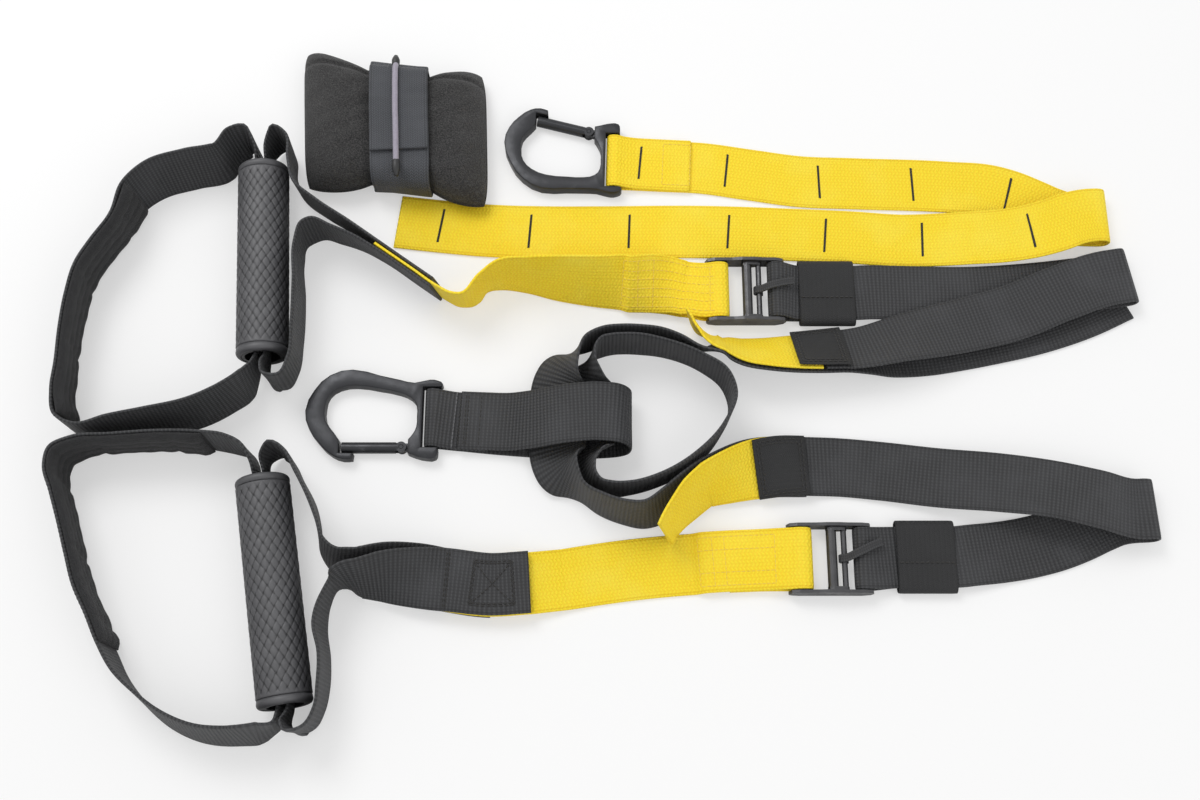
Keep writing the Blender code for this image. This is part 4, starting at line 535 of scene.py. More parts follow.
def pinned_straps():
    """The anchor loop and the long extension strap, folded once, each round its carabiner's pin."""
    route = laid(ANCHOR_LOOP_TOP_ROWS) + pin_wrap(MAIN_PIN_SHARE) + laid(ANCHOR_LOOP_RETURN_ROWS)
    strip("anchor_loop", smooth(route), "black_webbing")
    route = laid(EXTENSION_ROWS) + turn_back(*EXTENSION_FOLD_SHARES) + laid(EXTENSION_RETURN_ROWS)
    route += pin_wrap(ANCHOR_PIN_SHARE, ANCHOR_TURN) + laid(EXTENSION_TAIL_ROWS)
    strip("extension_strap", smooth(route), "yellow_webbing")


def handle_straps():
    """The V strap through each grip and the cradle strap round each foot opening."""
    inset, depth, lead = COLLAR_LENGTH * 2, COLLAR_LENGTH * 3, CLEARANCE * 2
    joint = smooth(laid(JOINT_B_ROWS))
    rear = joint[:-STEPS][::-1]
    front = raised(joint, JOINT_GAP_SHARE * 2)
    for letter, before, after, cradle in (
            ("a", laid(REAR_A_ROWS), laid(FRONT_A_ROWS), CRADLE_A_ROWS),
            ("b", rear[-1:] + laid(UPPER_LEG_B_ROWS)[::-1], laid(LOWER_LEG_B_ROWS) + front[:1], CRADLE_B_ROWS)):
        far, near = (spot(*share) for share in GRIPS[letter])
        span = (near - far).length
        route = smooth(before + bore(letter, 1, (-lead, inset, span - inset, span + lead)) + after)
        if letter == "b":
            route = square_up(rear[:-1] + route + front[1:])
        strip("handle_strap_" + letter, route, "black_webbing")
        route = bore(letter, -1, (depth, -lead)) + laid(cradle) + bore(letter, -1, (span + lead, span - depth))
        strip("cradle_strap_" + letter, smooth(route), "black_webbing")


# Surfaces
MATERIALS = {}
ROUTES = {}
WEAVE_OF = {"keeper_a": "cover_webbing", "keeper_b": "cover_webbing", "patch_a": "cover_webbing",
            "patch_b": "cover_webbing", "pull_loop_a": "pull_tape", "pull_loop_b": "pull_tape",
            "door_strap": "grey_webbing"}

# Places across a flat strap and its height there: drawn in to a round edge at each side
PLACES = np.array([-1, -0.985, -0.95, -0.85, -0.6, -0.3, 0, 0.3, 0.6, 0.85, 0.95, 0.985, 1])
HEIGHTS = (1 - np.abs(PLACES) ** 24) ** (1 / 3)
SECTION_ACROSS = np.append(PLACES, PLACES[-2:0:-1])
SECTION_RISE = np.append(HEIGHTS, -HEIGHTS[-2:0:-1])


def unit(rows):
    """Each row scaled to length one, or left at nothing."""
    return rows / np.maximum(np.linalg.norm(rows, axis=-1), 1e-12)[..., None]


def read_at(where, places, rows):
    """Rows of three numbers read between their places."""
    return np.stack([np.interp(where, places, rows[:, k]) for k in range(3)], 1)


class Route:
    """A strap's path at even steps: middle, side and face directions, width and distance along it."""

    def __init__(self, stations, closed=False, thickness=STRAP_THICKNESS, spacing=0.0016):
        """Read the stations at even steps, with the side square to the path and the face square to both."""
        stations = stations + stations[:1] if closed else stations
        points, across = (np.array([tuple(station[k]) for station in stations]) for k in (0, 1))
        widths = np.array([station[2] for station in stations])
        keep = np.append(True, np.linalg.norm(np.diff(points, axis=0), axis=1) > 1e-6)
        points, across, widths = points[keep], across[keep], widths[keep]
        arc = np.append(0.0, np.cumsum(np.linalg.norm(np.diff(points, axis=0), axis=1)))
        self.thickness = thickness
        self.arc = np.linspace(0, arc[-1], max(8, int(arc[-1] / spacing) + 1))
        where = self.arc[:-1] if closed else self.arc
        self.middle, side = read_at(where, arc, points), read_at(where, arc, across)
        self.wide = np.interp(where, arc, widths)
        if closed:
            ahead = unit(np.roll(self.middle, -1, 0) - np.roll(self.middle, 1, 0))
        else:
            ahead = unit(np.gradient(self.middle, axis=0))
        self.side = unit(side - ahead * np.sum(side * ahead, 1)[:, None])
        self.face = np.cross(ahead, self.side)


def carried(middle, side, face, across, rise):
    """A section carried along a path: the middle, plus side by across, plus face by rise."""
    return middle[:, None] + side[:, None] * across[..., None] + face[:, None] * rise[..., None]


def off_floor(points, least=FLOOR_CLEARANCE):
    """The points with none below a least height."""
    points[..., 2] = np.maximum(points[..., 2], least)
    return points


def grid_faces(rows, columns, closed_rows=False, closed_columns=True):
    """Quads of a grid of rows by columns, joined round either way where closed."""
    last_row, last_column = rows - (not closed_rows), columns - (not closed_columns)
    i, j = np.meshgrid(np.arange(last_row), np.arange(last_column), indexing="ij")
    below, after = (i + 1) % rows * columns, (j + 1) % columns
    return np.stack([i * columns + j, below + j, below + after, i * columns + after], -1).reshape(-1, 4)


def tube_faces(rows, columns, closed=False):
    """Quads round a tube, joined end to end where closed, else with a cap on each end."""
    faces = grid_faces(rows, columns, closed).tolist()
    if not closed:
        faces += [list(range(columns)), list(range(rows * columns - 1, (rows - 1) * columns - 1, -1))]
    return faces


def grid_uv(u, v, rows, columns, closed_rows=False):
    """The same quads' corners on a map of u by column and v by row, v with one more entry where rows close."""
    i, j = np.meshgrid(np.arange(rows - (not closed_rows)), np.arange(columns), indexing="ij")
    after = (j + 1) % columns
    us = np.stack([u[j], u[j], u[after], u[after]], -1)
    vs = np.stack([v[i], v[i + 1], v[i + 1], v[i]], -1)
    return np.stack([us, vs], -1).reshape(-1, 2)


def finished(name, points, faces, material, uv=None, flat=0):
    """A mesh object at the origin, facing outwards and smooth but for its last faces, with an optional map."""
    mesh = bpy.data.meshes.new(name)
    points = np.asarray(points).reshape(-1, 3)
    mesh.from_pydata(points.tolist(), [], faces)
    soft = np.ones(len(mesh.polygons), dtype=bool)
    soft[len(soft) - flat:] = False
    mesh.polygons.foreach_set("use_smooth", soft)
    if uv is not None:
        mesh.uv_layers.new(name="UVMap").data.foreach_set("uv", np.asarray(uv, dtype=np.float32).ravel())
    mesh.materials.append(MATERIALS[material])
    mesh.update()
    mesh.calc_loop_triangles()
    ends = np.empty(len(mesh.loop_triangles) * 3, dtype=np.int32)
    mesh.loop_triangles.foreach_get("vertices", ends)
    first, second, third = points[ends.reshape(-1, 3)].transpose(1, 0, 2)
    if np.sum(first * np.cross(second, third)) < 0:
        mesh.flip_normals()
    return shown(name, mesh)


def dressed(piece, node, replaces=False):
    """The piece rides on its node's body and stands for it where it replaces it."""
    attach(piece, BODY_OF[node])
    if replaces:
        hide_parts(node)
    return piece


def section_mesh(name, route, width, material, closed=False, rise=None, ends=None):
    """The webbing's section carried along a route, with a map of metres across and along."""
    rise = route.thickness / 2 if rise is None else rise
    points = carried(route.middle, route.side, route.face, SECTION_ACROSS * route.wide[:, None] / 2,
                     SECTION_RISE[None] * rise)
    rows, columns = points.shape[:2]
    uv = grid_uv(SECTION_ACROSS * width / 2, route.arc, rows, columns, closed)
    if not closed:
        uv = np.vstack([uv, ends, ends[::-1]])
    faces = tube_faces(rows, columns, closed)
    return finished(name, off_floor(points), faces, material, uv, 0 if closed else 2)


def strip(name, stations, slot, thickness=STRAP_THICKNESS, closed=False):
    """One strap of webbing, laid flat on the table."""
    ROUTES[name] = route = Route(stations, closed, thickness)
    ends = np.stack([SECTION_ACROSS * STRAP_WIDTH / 2, SECTION_RISE * thickness], 1)
    piece = section_mesh(name + "_weave", route, float(np.median(route.wide)), WEAVE_OF.get(name, slot), closed,
                         ends=ends)
    dressed(piece, name, replaces=True)


# Materials
def wire(value, target):
    """Feed an input from a socket, or set it to a plain value."""
    if isinstance(value, bpy.types.NodeSocket):
        target.id_data.links.new(value, target)
    else:
        target.default_value = value


def add(tree, kind, inputs=(), **settings):
    """One shader node with its settings and its inputs, each by name or position."""
    piece = tree.nodes.new("ShaderNode" + kind)
    for key, value in settings.items():
        setattr(piece, key, value)
    for key, value in dict(inputs).items():
        wire(value, piece.inputs[key])
    return piece


class Value:
    """A shader value that adds up with plain numbers and other values."""

    def __init__(self, tree, socket):
        """Keep the tree with the socket."""
        self.tree, self.socket = tree, socket

    def step(self, operation, *others):
        """One arithmetic step on this value and the others."""
        plain = [other.socket if isinstance(other, Value) else other for other in (self, *others)]
        return Value(self.tree, add(self.tree, "Math", enumerate(plain), operation=operation).outputs[0])

    __add__ = partialmethod(step, "ADD")
    __sub__ = partialmethod(step, "SUBTRACT")
    __mul__ = partialmethod(step, "MULTIPLY")
    __truediv__ = partialmethod(step, "DIVIDE")
    scaled = partialmethod(step, "MULTIPLY_ADD")
    sine = partialmethod(step, "SINE")
    size = partialmethod(step, "ABSOLUTE")

    def ramp(self, low, high, start=0.0, end=1.0):
        """Start below low, end above high and even between them."""
        inputs = enumerate((self.socket, low, high, start, end))
        return Value(self.tree, add(self.tree, "MapRange", inputs).outputs[0])


class Finish:
    """A new material, its shader with the constants on its own sockets, and the colour built up so far."""

    def __init__(self, name, roughness, metallic=0.0, sheen=0.0):
        """Make the material and list it under its name."""
        MATERIALS[name] = material = bpy.data.materials.new(name)
        material.use_nodes = True
        self.tree = material.node_tree
        self.shader = self.tree.nodes["Principled BSDF"]
        self.shader.inputs["Roughness"].default_value = roughness
        self.shader.inputs["Metallic"].default_value = metallic
        if sheen:
            self.shader.inputs["Sheen Weight"].default_value = sheen
            self.shader.inputs["Sheen Roughness"].default_value = 0.45
        self.place = self.value("TexCoord", output="Object").socket
        self.colour = None

    def value(self, kind, inputs=(), output=0, **settings):
        """One output of a new node."""
        return Value(self.tree, add(self.tree, kind, inputs, **settings).outputs[output])

    def noise(self, scale, detail=3.0, roughness=0.6, place=None):
        """Clouds or grain in the object's own space."""
        return self.value("TexNoise", {0: place or self.place, 2: scale, 3: detail, 4: roughness})

    def mixed(self, share, first, second):
        """Start the colour as the first turning into the second by a share."""
        self.colour = first
        self.over(share, second)

    def over(self, share, tone):
        """Turn the colour into another tone by a share."""
        inputs = {0: share.socket, 6: self.colour, 7: tone}
        self.colour = self.value("Mix", output=2, data_type="RGBA", inputs=inputs).socket

    def done(self, height, strength, distance):
        """Put the colour on the shader, and the normal from a height."""
        wire(self.colour, self.shader.inputs["Base Color"])
        inputs = {"Height": height.socket, "Strength": strength, "Distance": distance}
        wire(self.value("Bump", inputs).socket, self.shader.inputs["Normal"])


def webbing(name, light, dark, worn, pick, end, shade_contrast, sheen, depth=0.00022, slant=0.0, half_width=0.019):
    """Woven strap: cords along it, every second one leaning the other way, picks across it, a groove near
    each edge and soft wear. The colour sinks to the dark tone as painted shade in the weave's low valleys and
    in each edge groove."""
    finish = Finish(name, 0.72, sheen=sheen)
    parts = add(finish.tree, "SeparateXYZ", {0: finish.value("UVMap").socket})
    u, v = (Value(finish.tree, socket) for socket in parts.outputs[:2])
    cords = u / end
    column = cords.step("FLOOR")
    odd = column.step("MODULO", 2.0).size()
    within = cords - column
    rows = v / pick + (odd * 2.0 - 1.0) * within * slant
    wave = (rows * math.tau).sine().scaled(0.5, 0.5)
    weave = wave.scaled(0.7, 0.3) * (within * math.pi).sine().scaled(0.45, 0.55)
    broad, fine = finish.noise(26.0, roughness=0.55), finish.noise(900.0, 2.0)
    # Painted shade: the colour falls to the dark tone where the weave is low, between cords and between picks
    finish.mixed(weave.scaled(shade_contrast, 1 - shade_contrast), dark, light)
    finish.over(broad.ramp(0.45, 0.72) * 0.35, worn)
    finish.over(fine.ramp(0.62, 0.80) * 0.22, worn)
    groove = (u.size() - (half_width - 0.0016)).size().step("LESS_THAN", 0.00035)
    # Painted shade: each edge groove is darkened towards the dark tone
    finish.over(groove * 0.45, dark)
    finish.done(fine.scaled(0.25, weave - groove * 0.5), 0.75, depth)


def felt(name, light, dark, fibre, scale=1.0):
    """Pressed felt: cloudy tone, fine matted grain and a few pale fibres."""
    finish = Finish(name, 0.95, sheen=0.10)
    cloud, grain = finish.noise(60.0 * scale, 4.0), finish.noise(1250.0 * scale, 2.0)
    finish.mixed(cloud, dark, light)
    for turn, stretch in ((0.5, 9.0), (2.1, 11.0)):
        inputs = {0: finish.place, "Rotation": (0.3, 0.2, turn),
                  "Scale": (60.0 * scale, 60.0 * stretch * scale, 300.0 * scale)}
        strands = finish.noise(1.0, 2.0, 0.5, finish.value("Mapping", inputs).socket)
        finish.over(strands.ramp(0.70, 0.78) * 0.4, fibre)
    finish.over(grain.ramp(0.42, 0.68) * 0.8, fibre)
    finish.done(cloud.scaled(0.25, grain), 1.0, 0.0012)


def metal(name, tone, bright, dull, metallic):
    """Coated metal: even tone with soft clouding, fine pitting and brighter rubbed spots."""
    finish = Finish(name, 0.34, metallic)
    cloud = finish.noise(110.0, 4.0)
    finish.mixed(cloud, dull, tone)
    finish.over(cloud.ramp(0.64, 0.82) * 0.35, bright)
    wire(cloud.ramp(0.3, 0.75, 0.44, 0.26).socket, finish.shader.inputs["Roughness"])
    finish.done(finish.noise(1600.0, 2.0), 0.25, 0.00012)


def moulded(name, tone, worn, roughness, grain):
    """Moulded plastic or rubber: fine grain and faint greyed wear."""
    finish = Finish(name, roughness)
    finish.mixed(finish.noise(55.0, roughness=0.55).ramp(0.48, 0.75) * 0.5, tone, worn)
    finish.done(finish.noise(grain), 0.35, 0.00018)


def woven_rubber(name, tone, gap_shade, worn):
    """Rubber moulded as a basket weave: painted shade down in the gaps, greyed wear on the strands, fine grain
    over all.
    """
    finish = Finish(name, 0.5)
    high = finish.value("Attribute", output="Fac", attribute_name="relief").ramp(0.35, 0.85)
    # Painted shade: the colour falls to the near-black tone where the weave sinks into its gaps
    finish.mixed(high, gap_shade, tone)
    finish.over(finish.noise(70.0, roughness=0.55).ramp(0.45, 0.75) * (high * 0.45), worn)
    finish.done(finish.noise(900.0), 0.3, 0.00018)


def twisted(name, tone, dark):
    """Sewing thread or cord: fine broken strands of two tones."""
    finish = Finish(name, 0.6, sheen=0.2)
    strands = finish.noise(0.9 / 0.0011, 2.0)
    finish.mixed(strands, dark, tone)
    finish.done(strands, 0.5, 0.0002)


def all_materials():
    """Every finish on the trainer."""
    # In each webbing the second colour is the painted shade of the weave's low valleys and edge grooves
    webbing("black_webbing", (0.050, 0.051, 0.054, 1), (0.003, 0.003, 0.004, 1), (0.070, 0.072, 0.078, 1),
            0.0025, 0.0020, 0.95, 0.06, 0.0008)
    webbing("yellow_webbing", (1.0, 0.79, 0.022, 1), (0.93, 0.56, 0.004, 1), (1.0, 0.86, 0.09, 1),
            0.0024, 0.0022, 0.72, 0.0, 0.00055, 0.3)
    webbing("cover_webbing", (0.013, 0.0135, 0.0145, 1), (0.003, 0.003, 0.0035, 1), (0.022, 0.0225, 0.024, 1),
            0.0013, 0.0015, 0.7, 0.02, 0.0004, 0.9)
    webbing("grey_webbing", (0.080, 0.085, 0.096, 1), (0.012, 0.013, 0.016, 1), (0.10, 0.105, 0.12, 1),
            0.0017, 0.0016, 0.9, 0.04, 0.0006, 0.9, 0.0194)
    webbing("pull_tape", (0.045, 0.046, 0.049, 1), (0.008, 0.008, 0.009, 1), (0.07, 0.07, 0.075, 1),
            0.0014, 0.0049, 0.8, 0.1, slant=0.3, half_width=0.0024)
    felt("pad_felt", (0.024, 0.0235, 0.024, 1), (0.006, 0.006, 0.0065, 1), (0.088, 0.086, 0.085, 1))
    felt("lining_felt", (0.017, 0.017, 0.018, 1), (0.005, 0.005, 0.006, 1), (0.045, 0.045, 0.048, 1), 1.5)
    metal("gunmetal", (0.040, 0.041, 0.045, 1), (0.12, 0.123, 0.13, 1), (0.020, 0.0205, 0.023, 1), 0.6)
    metal("dark_steel", (0.11, 0.11, 0.114, 1), (0.30, 0.30, 0.31, 1), (0.045, 0.045, 0.048, 1), 0.8)
    moulded("grip_rubber", (0.030, 0.031, 0.034, 1), (0.065, 0.067, 0.072, 1), 0.55, 700.0)
    # The grip weave's second colour is the painted shade in the gaps between its strands
    woven_rubber("grip_weave", (0.078, 0.078, 0.083, 1), (0.005, 0.005, 0.006, 1), (0.135, 0.135, 0.142, 1))
    moulded("hard_plastic", (0.014, 0.014, 0.015, 1), (0.030, 0.030, 0.032, 1), 0.45, 500.0)
    twisted("tie_cord", (0.40, 0.37, 0.44, 1), (0.22, 0.20, 0.25, 1))
    twisted("black_thread", (0.010, 0.008, 0.006, 1), (0.002, 0.0018, 0.0015, 1))
    twisted("yellow_thread", (1.0, 0.80, 0.14, 1), (0.80, 0.52, 0.03, 1))
    twisted("grey_thread", (0.16, 0.16, 0.17, 1), (0.06, 0.06, 0.065, 1))


def lamp(name, energy, place, size):
    """A soft lamp aimed at the middle of the table."""
    data = bpy.data.lights.new(name, "AREA")
    data.energy, data.size = energy, size
    piece = shown(name, data)
    piece.location = place
    piece.rotation_euler = (-Vector(place)).to_track_quat("-Z", "Y").to_euler()


def studio():
    """White table that keeps the shadows, white surroundings and soft lamps."""
    scene = bpy.context.scene
    scene.view_settings.view_transform = "Standard"
    mesh = bpy.data.meshes.new("table")
    outline = [(x * 3, y * 3, TABLE_LEVEL) for x, y in ((-1, -1), (1, -1), (1, 1), (-1, 1))]
    mesh.from_pydata(outline, [], [(0, 1, 2, 3)])
    material = bpy.data.materials.new("table_white")
    material.use_nodes = True
    tree = material.node_tree
    shader = tree.nodes["Principled BSDF"]
    for key, value in (("Base Color", (0.96, 0.96, 0.96, 1)), ("Roughness", 0.8), ("Specular IOR Level", 0.1)):
        shader.inputs[key].default_value = value
    glow = add(tree, "Emission", {"Color": (1, 1, 1, 1), "Strength": 1.0})
    seen = Value(tree, add(tree, "LightPath").outputs["Is Camera Ray"]) * 0.45
    blend = add(tree, "MixShader", {0: seen.socket, 1: shader.outputs[0], 2: glow.outputs[0]})
    wire(blend.outputs[0], tree.nodes["Material Output"].inputs["Surface"])
    mesh.materials.append(material)
    shown("table", mesh)
    scene.world = world = bpy.data.worlds.new("white_room")
    world.use_nodes = True
    tree = world.node_tree
    paths = add(tree, "LightPath").outputs
    seen = Value(tree, paths["Is Camera Ray"]).step("MAXIMUM", Value(tree, paths["Is Glossy Ray"]))
    background = tree.nodes["Background"].inputs
    wire((1, 1, 1, 1), background["Color"])
    wire(seen.ramp(0.0, 1.0, 0.62, 1.0).socket, background["Strength"])
    lamp("key", 14.0, (-0.7, 0.9, 1.5), 0.9)
    lamp("fill", 5.0, (1.0, -0.9, 1.3), 1.2)


# Thread
# Rings of one stitch: share of its length, share of its thickness
STITCH_RINGS = np.array([(0.0, 0.25), (0.12, 0.9), (0.5, 1.0), (0.88, 0.9), (1.0, 0.25)])
STITCH_SIDES = 6
STITCH_TURNS = np.linspace(0, math.tau, STITCH_SIDES, endpoint=False)
TACK_HALF = 0.0008
TACK_REACH = 0.0118
TACK_SLANT = 0.05
TACK_STITCHES = 44
LINING_SEAM = 0.0162
TACK_PLACES = (
    (0.0236, 0.1542), (0.0806, 0.1467), (0.1420, 0.1377), (0.2047, 0.1355), (0.2695, 0.1340),
    (-0.1093, 0.1062), (-0.0496, 0.1004), (0.0151, 0.0968), (0.0819, 0.0975), (0.1446, 0.0968),
    (0.2084, 0.0931), (0.2785, 0.0960),
)


def on_strap(route, places, side):
    """Points on one side of a strap at distances along and across it, and the way that side faces there."""
    spacing = route.arc[:len(route.middle)]
    middle, across, face = (read_at(places[:, 0], spacing, rows)
                            for rows in (route.middle, route.side, route.face))
    return middle + across * places[:, 1:] + face * (side * route.thickness / 2), face * side


def mark(name, x, y):
    """Distance along a strap and across it of the topmost ply over a place on the table."""
    route = ROUTES[name]
    flat = route.side[:, :2]
    away = np.array((x, y)) - route.middle[:, :2]
    beside = np.clip(np.sum(away * flat, 1), -route.wide / 2, route.wide / 2)
    far = np.linalg.norm(away - beside[:, None] * flat, axis=1) * 1000
    best = int(np.argmin(np.maximum(far, 1.2) * 10 - route.middle[:, 2] * 400))
    return float(route.arc[best]), float(beside[best])


def stitches(label, name, runs, material="black_thread", pitch=0.0031, length=0.0025, thick=0.00055, side=None):
    """Thread along straight runs on a strap: one capped bead for each stitch, laid half into the weave."""
    route = ROUTES[name]
    ends = [], []
    for start, end in np.array(runs):
        total = np.linalg.norm(end - start)
        count = max(1, int(round(total / pitch)))
        half = min(length / 2, total / 2) / max(total, 1e-9)
        share = (np.arange(count)[:, None] + 0.5) / count
        for sign, store in zip((-1, 1), ends):
            store.append(start + (end - start) * (share + sign * half))
    starts, stops = (np.vstack(store) for store in ends)
    if side is None:
        lie = np.interp(np.mean(starts[:, 0]), route.arc[:len(route.middle)], route.face[:, 2])
        side = 1 if lie > 0 else -1
    begin, up = on_strap(route, starts, side)
    reach = on_strap(route, stops, side)[0] - begin
    beside = unit(np.cross(up, reach))
    along, wide = STITCH_RINGS.T[..., None]
    rise = 0.8 * wide * np.sin(STITCH_TURNS) / 2 + 0.30 * np.sin(np.pi * along)
    points = carried(begin, beside, up, (wide * np.cos(STITCH_TURNS) * thick / 2).reshape(1, -1),
                     (rise * thick).reshape(1, -1))
    points += reach[:, None] * np.repeat(STITCH_RINGS[:, 0], STITCH_SIDES)[None, :, None]
    first = np.arange(len(begin))[:, None, None] * points.shape[1]
    quads = (first + grid_faces(len(STITCH_RINGS), STITCH_SIDES)).reshape(-1, 4).tolist()
    round_end = np.arange(STITCH_SIDES)
    caps = first + np.stack([round_end[::-1], points.shape[1] - STITCH_SIDES + round_end])
    dressed(finished(label, points, quads + caps.reshape(-1, STITCH_SIDES).tolist(), material), name)


def across_at(s, width=0.032):
    """One run straight across a strap."""
    return [((s, -width / 2), (s, width / 2))]


def along_at(low, high, places):
    """Runs along a strap at places across it."""
    return [((low, w), (high, w)) for w in places]


def oblong(low, high, half):
    """Four runs round an oblong."""
    a, b, c, d = (low, -half), (high, -half), (high, half), (low, half)
    return [(a, b), (b, c), (c, d), (d, a)]


def sewing():
    """Bar tacks of the extension strap and the seams of the joints, patches, covers and tabs."""
    for index, place in enumerate(TACK_PLACES):
        s = mark("extension_strap", *place)[0]
        rows = [((s - TACK_HALF + TACK_SLANT * u, u), (s + TACK_HALF + TACK_SLANT * u, u + 0.0003))
                for u in np.linspace(-TACK_REACH, TACK_REACH, TACK_STITCHES)]
        stitches("bar_tack_%d" % index, "extension_strap", rows, pitch=0.01, length=0.0017, thick=0.0007)
    s = mark("extension_strap", 0.0500, 0.1510)[0]
    stitches("extension_end_seam", "extension_strap", oblong(s - 0.012, s + 0.012, 0.0150), "yellow_thread")
    for letter, places, margins, lines, shares in (
            ("a", ((0.0091, 0.0600), (0.0740, 0.0600)), (0.002, -0.004),
             (-0.0150, -0.0085, -0.0030, 0.0030, 0.0085, 0.0150), (0.03, 0.18, 0.33, 0.9)),
            ("b", ((0.0560, -0.1210), (0.1020, -0.1180)), (0, 0),
             (-0.0150, -0.0070, 0.0070, 0.0150), (0.0, 0.18, 0.34, 1.0))):
        low, high = sorted(mark("leg_strap_" + letter, *place)[0] for place in places)
        runs = along_at(low + margins[0], high + margins[1], lines)
        for share in shares:
            runs += across_at(low + (high - low) * share, 0.030)
        stitches("leg_%s_seam" % letter, "leg_strap_" + letter, runs, "yellow_thread")
    low, high = (mark("handle_strap_b", x, -0.1370)[0] for x in (-0.0820, -0.0555))
    box = oblong(low, high, 0.0135) + [((low, -0.0135), (high, 0.0135)), ((low, 0.0135), (high, -0.0135))]
    stitches("joint_b_box", "handle_strap_b", box + oblong(low + 0.0012, high - 0.0012, 0.0123), thick=0.0009)
    s = mark("handle_strap_b", -0.0970, -0.1320)[0]
    stitches("joint_b_end", "handle_strap_b", across_at(s, 0.034) + across_at(s + 0.0016, 0.034), thick=0.0009)
    for x in (-0.0922, -0.0893, -0.0865, -0.0800):
        run = across_at(mark("anchor_loop", x, -0.0305)[0], 0.033)
        stitches("anchor_seam_%d" % round(-x * 10000), "anchor_loop", run, thick=0.0007)
    run = across_at(mark("anchor_loop", -0.0950, -0.0305)[0], 0.0365)
    stitches("anchor_edge", "anchor_loop", run, "grey_thread", pitch=0.0026, length=0.0026, thick=0.0010)
    for letter in "ab":
        patch, cover = "patch_" + letter, "keeper_" + letter
        length = float(ROUTES[patch].arc[-1])
        runs = oblong(0.0025, length - 0.0025, 0.0165) + oblong(0.0045, length - 0.0045, 0.0145)
        stitches(patch + "_seam", patch, runs, thick=0.0008)
        middle = ROUTES[cover].middle
        top = np.argmax(middle[:, 2] - 0.0001 * np.abs(middle[:, 1] - np.mean(middle[:, 1])))
        stitches(cover + "_seam", cover, across_at(float(ROUTES[cover].arc[top]) - 0.005, 0.034), thick=0.0010)
    for letter in "ab":
        tab = "tab_strap_" + letter
        stitches(tab + "_seam", tab, across_at(float(ROUTES[tab].arc[-1]) - 0.004), "yellow_thread")


def cradle_places(letter):
    """The cradle strap's stations that the padding lies on, and a point inside the foot opening."""
    low, high = LINING_SPANS[letter]
    near = GRIPS[letter][letter == "a"]
    return laid((CRADLE_A_ROWS if letter == "a" else CRADLE_B_ROWS)[low:high]), spot(*near, GRIP_RADIUS)


def lining_seams():
    """A seam close to each edge of the cradle straps where the padding is sewn on."""
    for letter in "ab":
        name = "cradle_strap_" + letter
        route = ROUTES[name]
        stations, inside = cradle_places(letter)
        low, high = sorted(float(route.arc[np.argmin(np.sum((route.middle - np.array(end[0])) ** 2, 1))])
                           for end in (stations[0], stations[-1]))
        centre = np.argmin(np.abs(route.arc[:len(route.middle)] - (low + high) / 2))
        side = -1 if np.dot(route.face[centre], np.array(inside) - route.middle[centre]) > 0 else 1
        steps = [low + (high - low) * k / 12 for k in range(13)]
        runs = [((start, w), (end, w)) for w in (-LINING_SEAM, LINING_SEAM)
                for start, end in zip(steps, steps[1:])]
        stitches(name + "_seam", name, runs + across_at(low) + across_at(high), side=side)


# Grips, padding and the door anchor
UP = np.array((0.0, 0.0, 1.0))
STRAND_DEPTH = 0.00085
LEVEL_BAND = 0.0035
RIM_DRAW = 0.0006
RIM_LENGTH = 0.0008
COLLAR_SOFTNESS = 0.0028
COLLAR_STEP = 0.0003
LINING_FLOOR = 0.0003
QUILT_CHANNELS = 2.0
FOLD_SPACING = 0.047
PAD_SEAM_RISE = 0.0050
PAD_SAG = 0.0040
WAIST_SINK = 0.0045
WAIST_REACH = 0.16
LIP_SINK = 0.0030
LIP_PLACE = 0.86
CREASE_DEPTH = 0.0008
LUMP_HEIGHTS = (0.0009, 0.0005)
WRAP_ROWS = 41
WRAP_FLOOR = 0.0013
WRAP_RISE = DOOR_STRAP_THICKNESS / 2 + CLEARANCE * 4
FLAP_WIDTH = DOOR_STRAP_WIDTH * 0.985
FLAP_RISE = 0.0007


def weave_cell(p, q):
    """Height of a basket weave: each cell is a strand humped along one diagonal and rounded across it."""
    over = (np.floor(p) + np.floor(q)) % 2 > 0.5
    fp, fq = p % 1, q % 1
    along, beside = np.where(over, fp, fq), np.where(over, fq, fp)
    return 0.35 * np.sin(np.pi * along) ** 0.6 + 0.65 * (1 - np.abs(2 * beside - 1) ** 5)


def turned(start, along, distances, radii, turns):
    """Rings about an axis: the start, plus along by distance, plus the way each turn points by radius."""
    beside = np.array((-along[1], along[0], 0.0))
    ring = np.cos(turns)[:, None] * beside + np.sin(turns)[:, None] * UP
    return start + along * distances[..., None] + ring * radii[..., None]


def rubber(node, suffix, points, relief):
    """A closed ring of grip rubber with the weave's height kept at each point, which sets where the grip weave
    paints shade into its gaps.
    """
    rows, columns = points.shape[:2]
    piece = finished(node + suffix, points, grid_faces(rows, columns, closed_rows=True).tolist(), "grip_weave")
    relief = np.broadcast_to(relief, (rows, columns)).astype(np.float32).ravel()
    piece.data.attributes.new("relief", "FLOAT", "POINT").data.foreach_set("value", relief)
    dressed(piece, node, replaces=True)


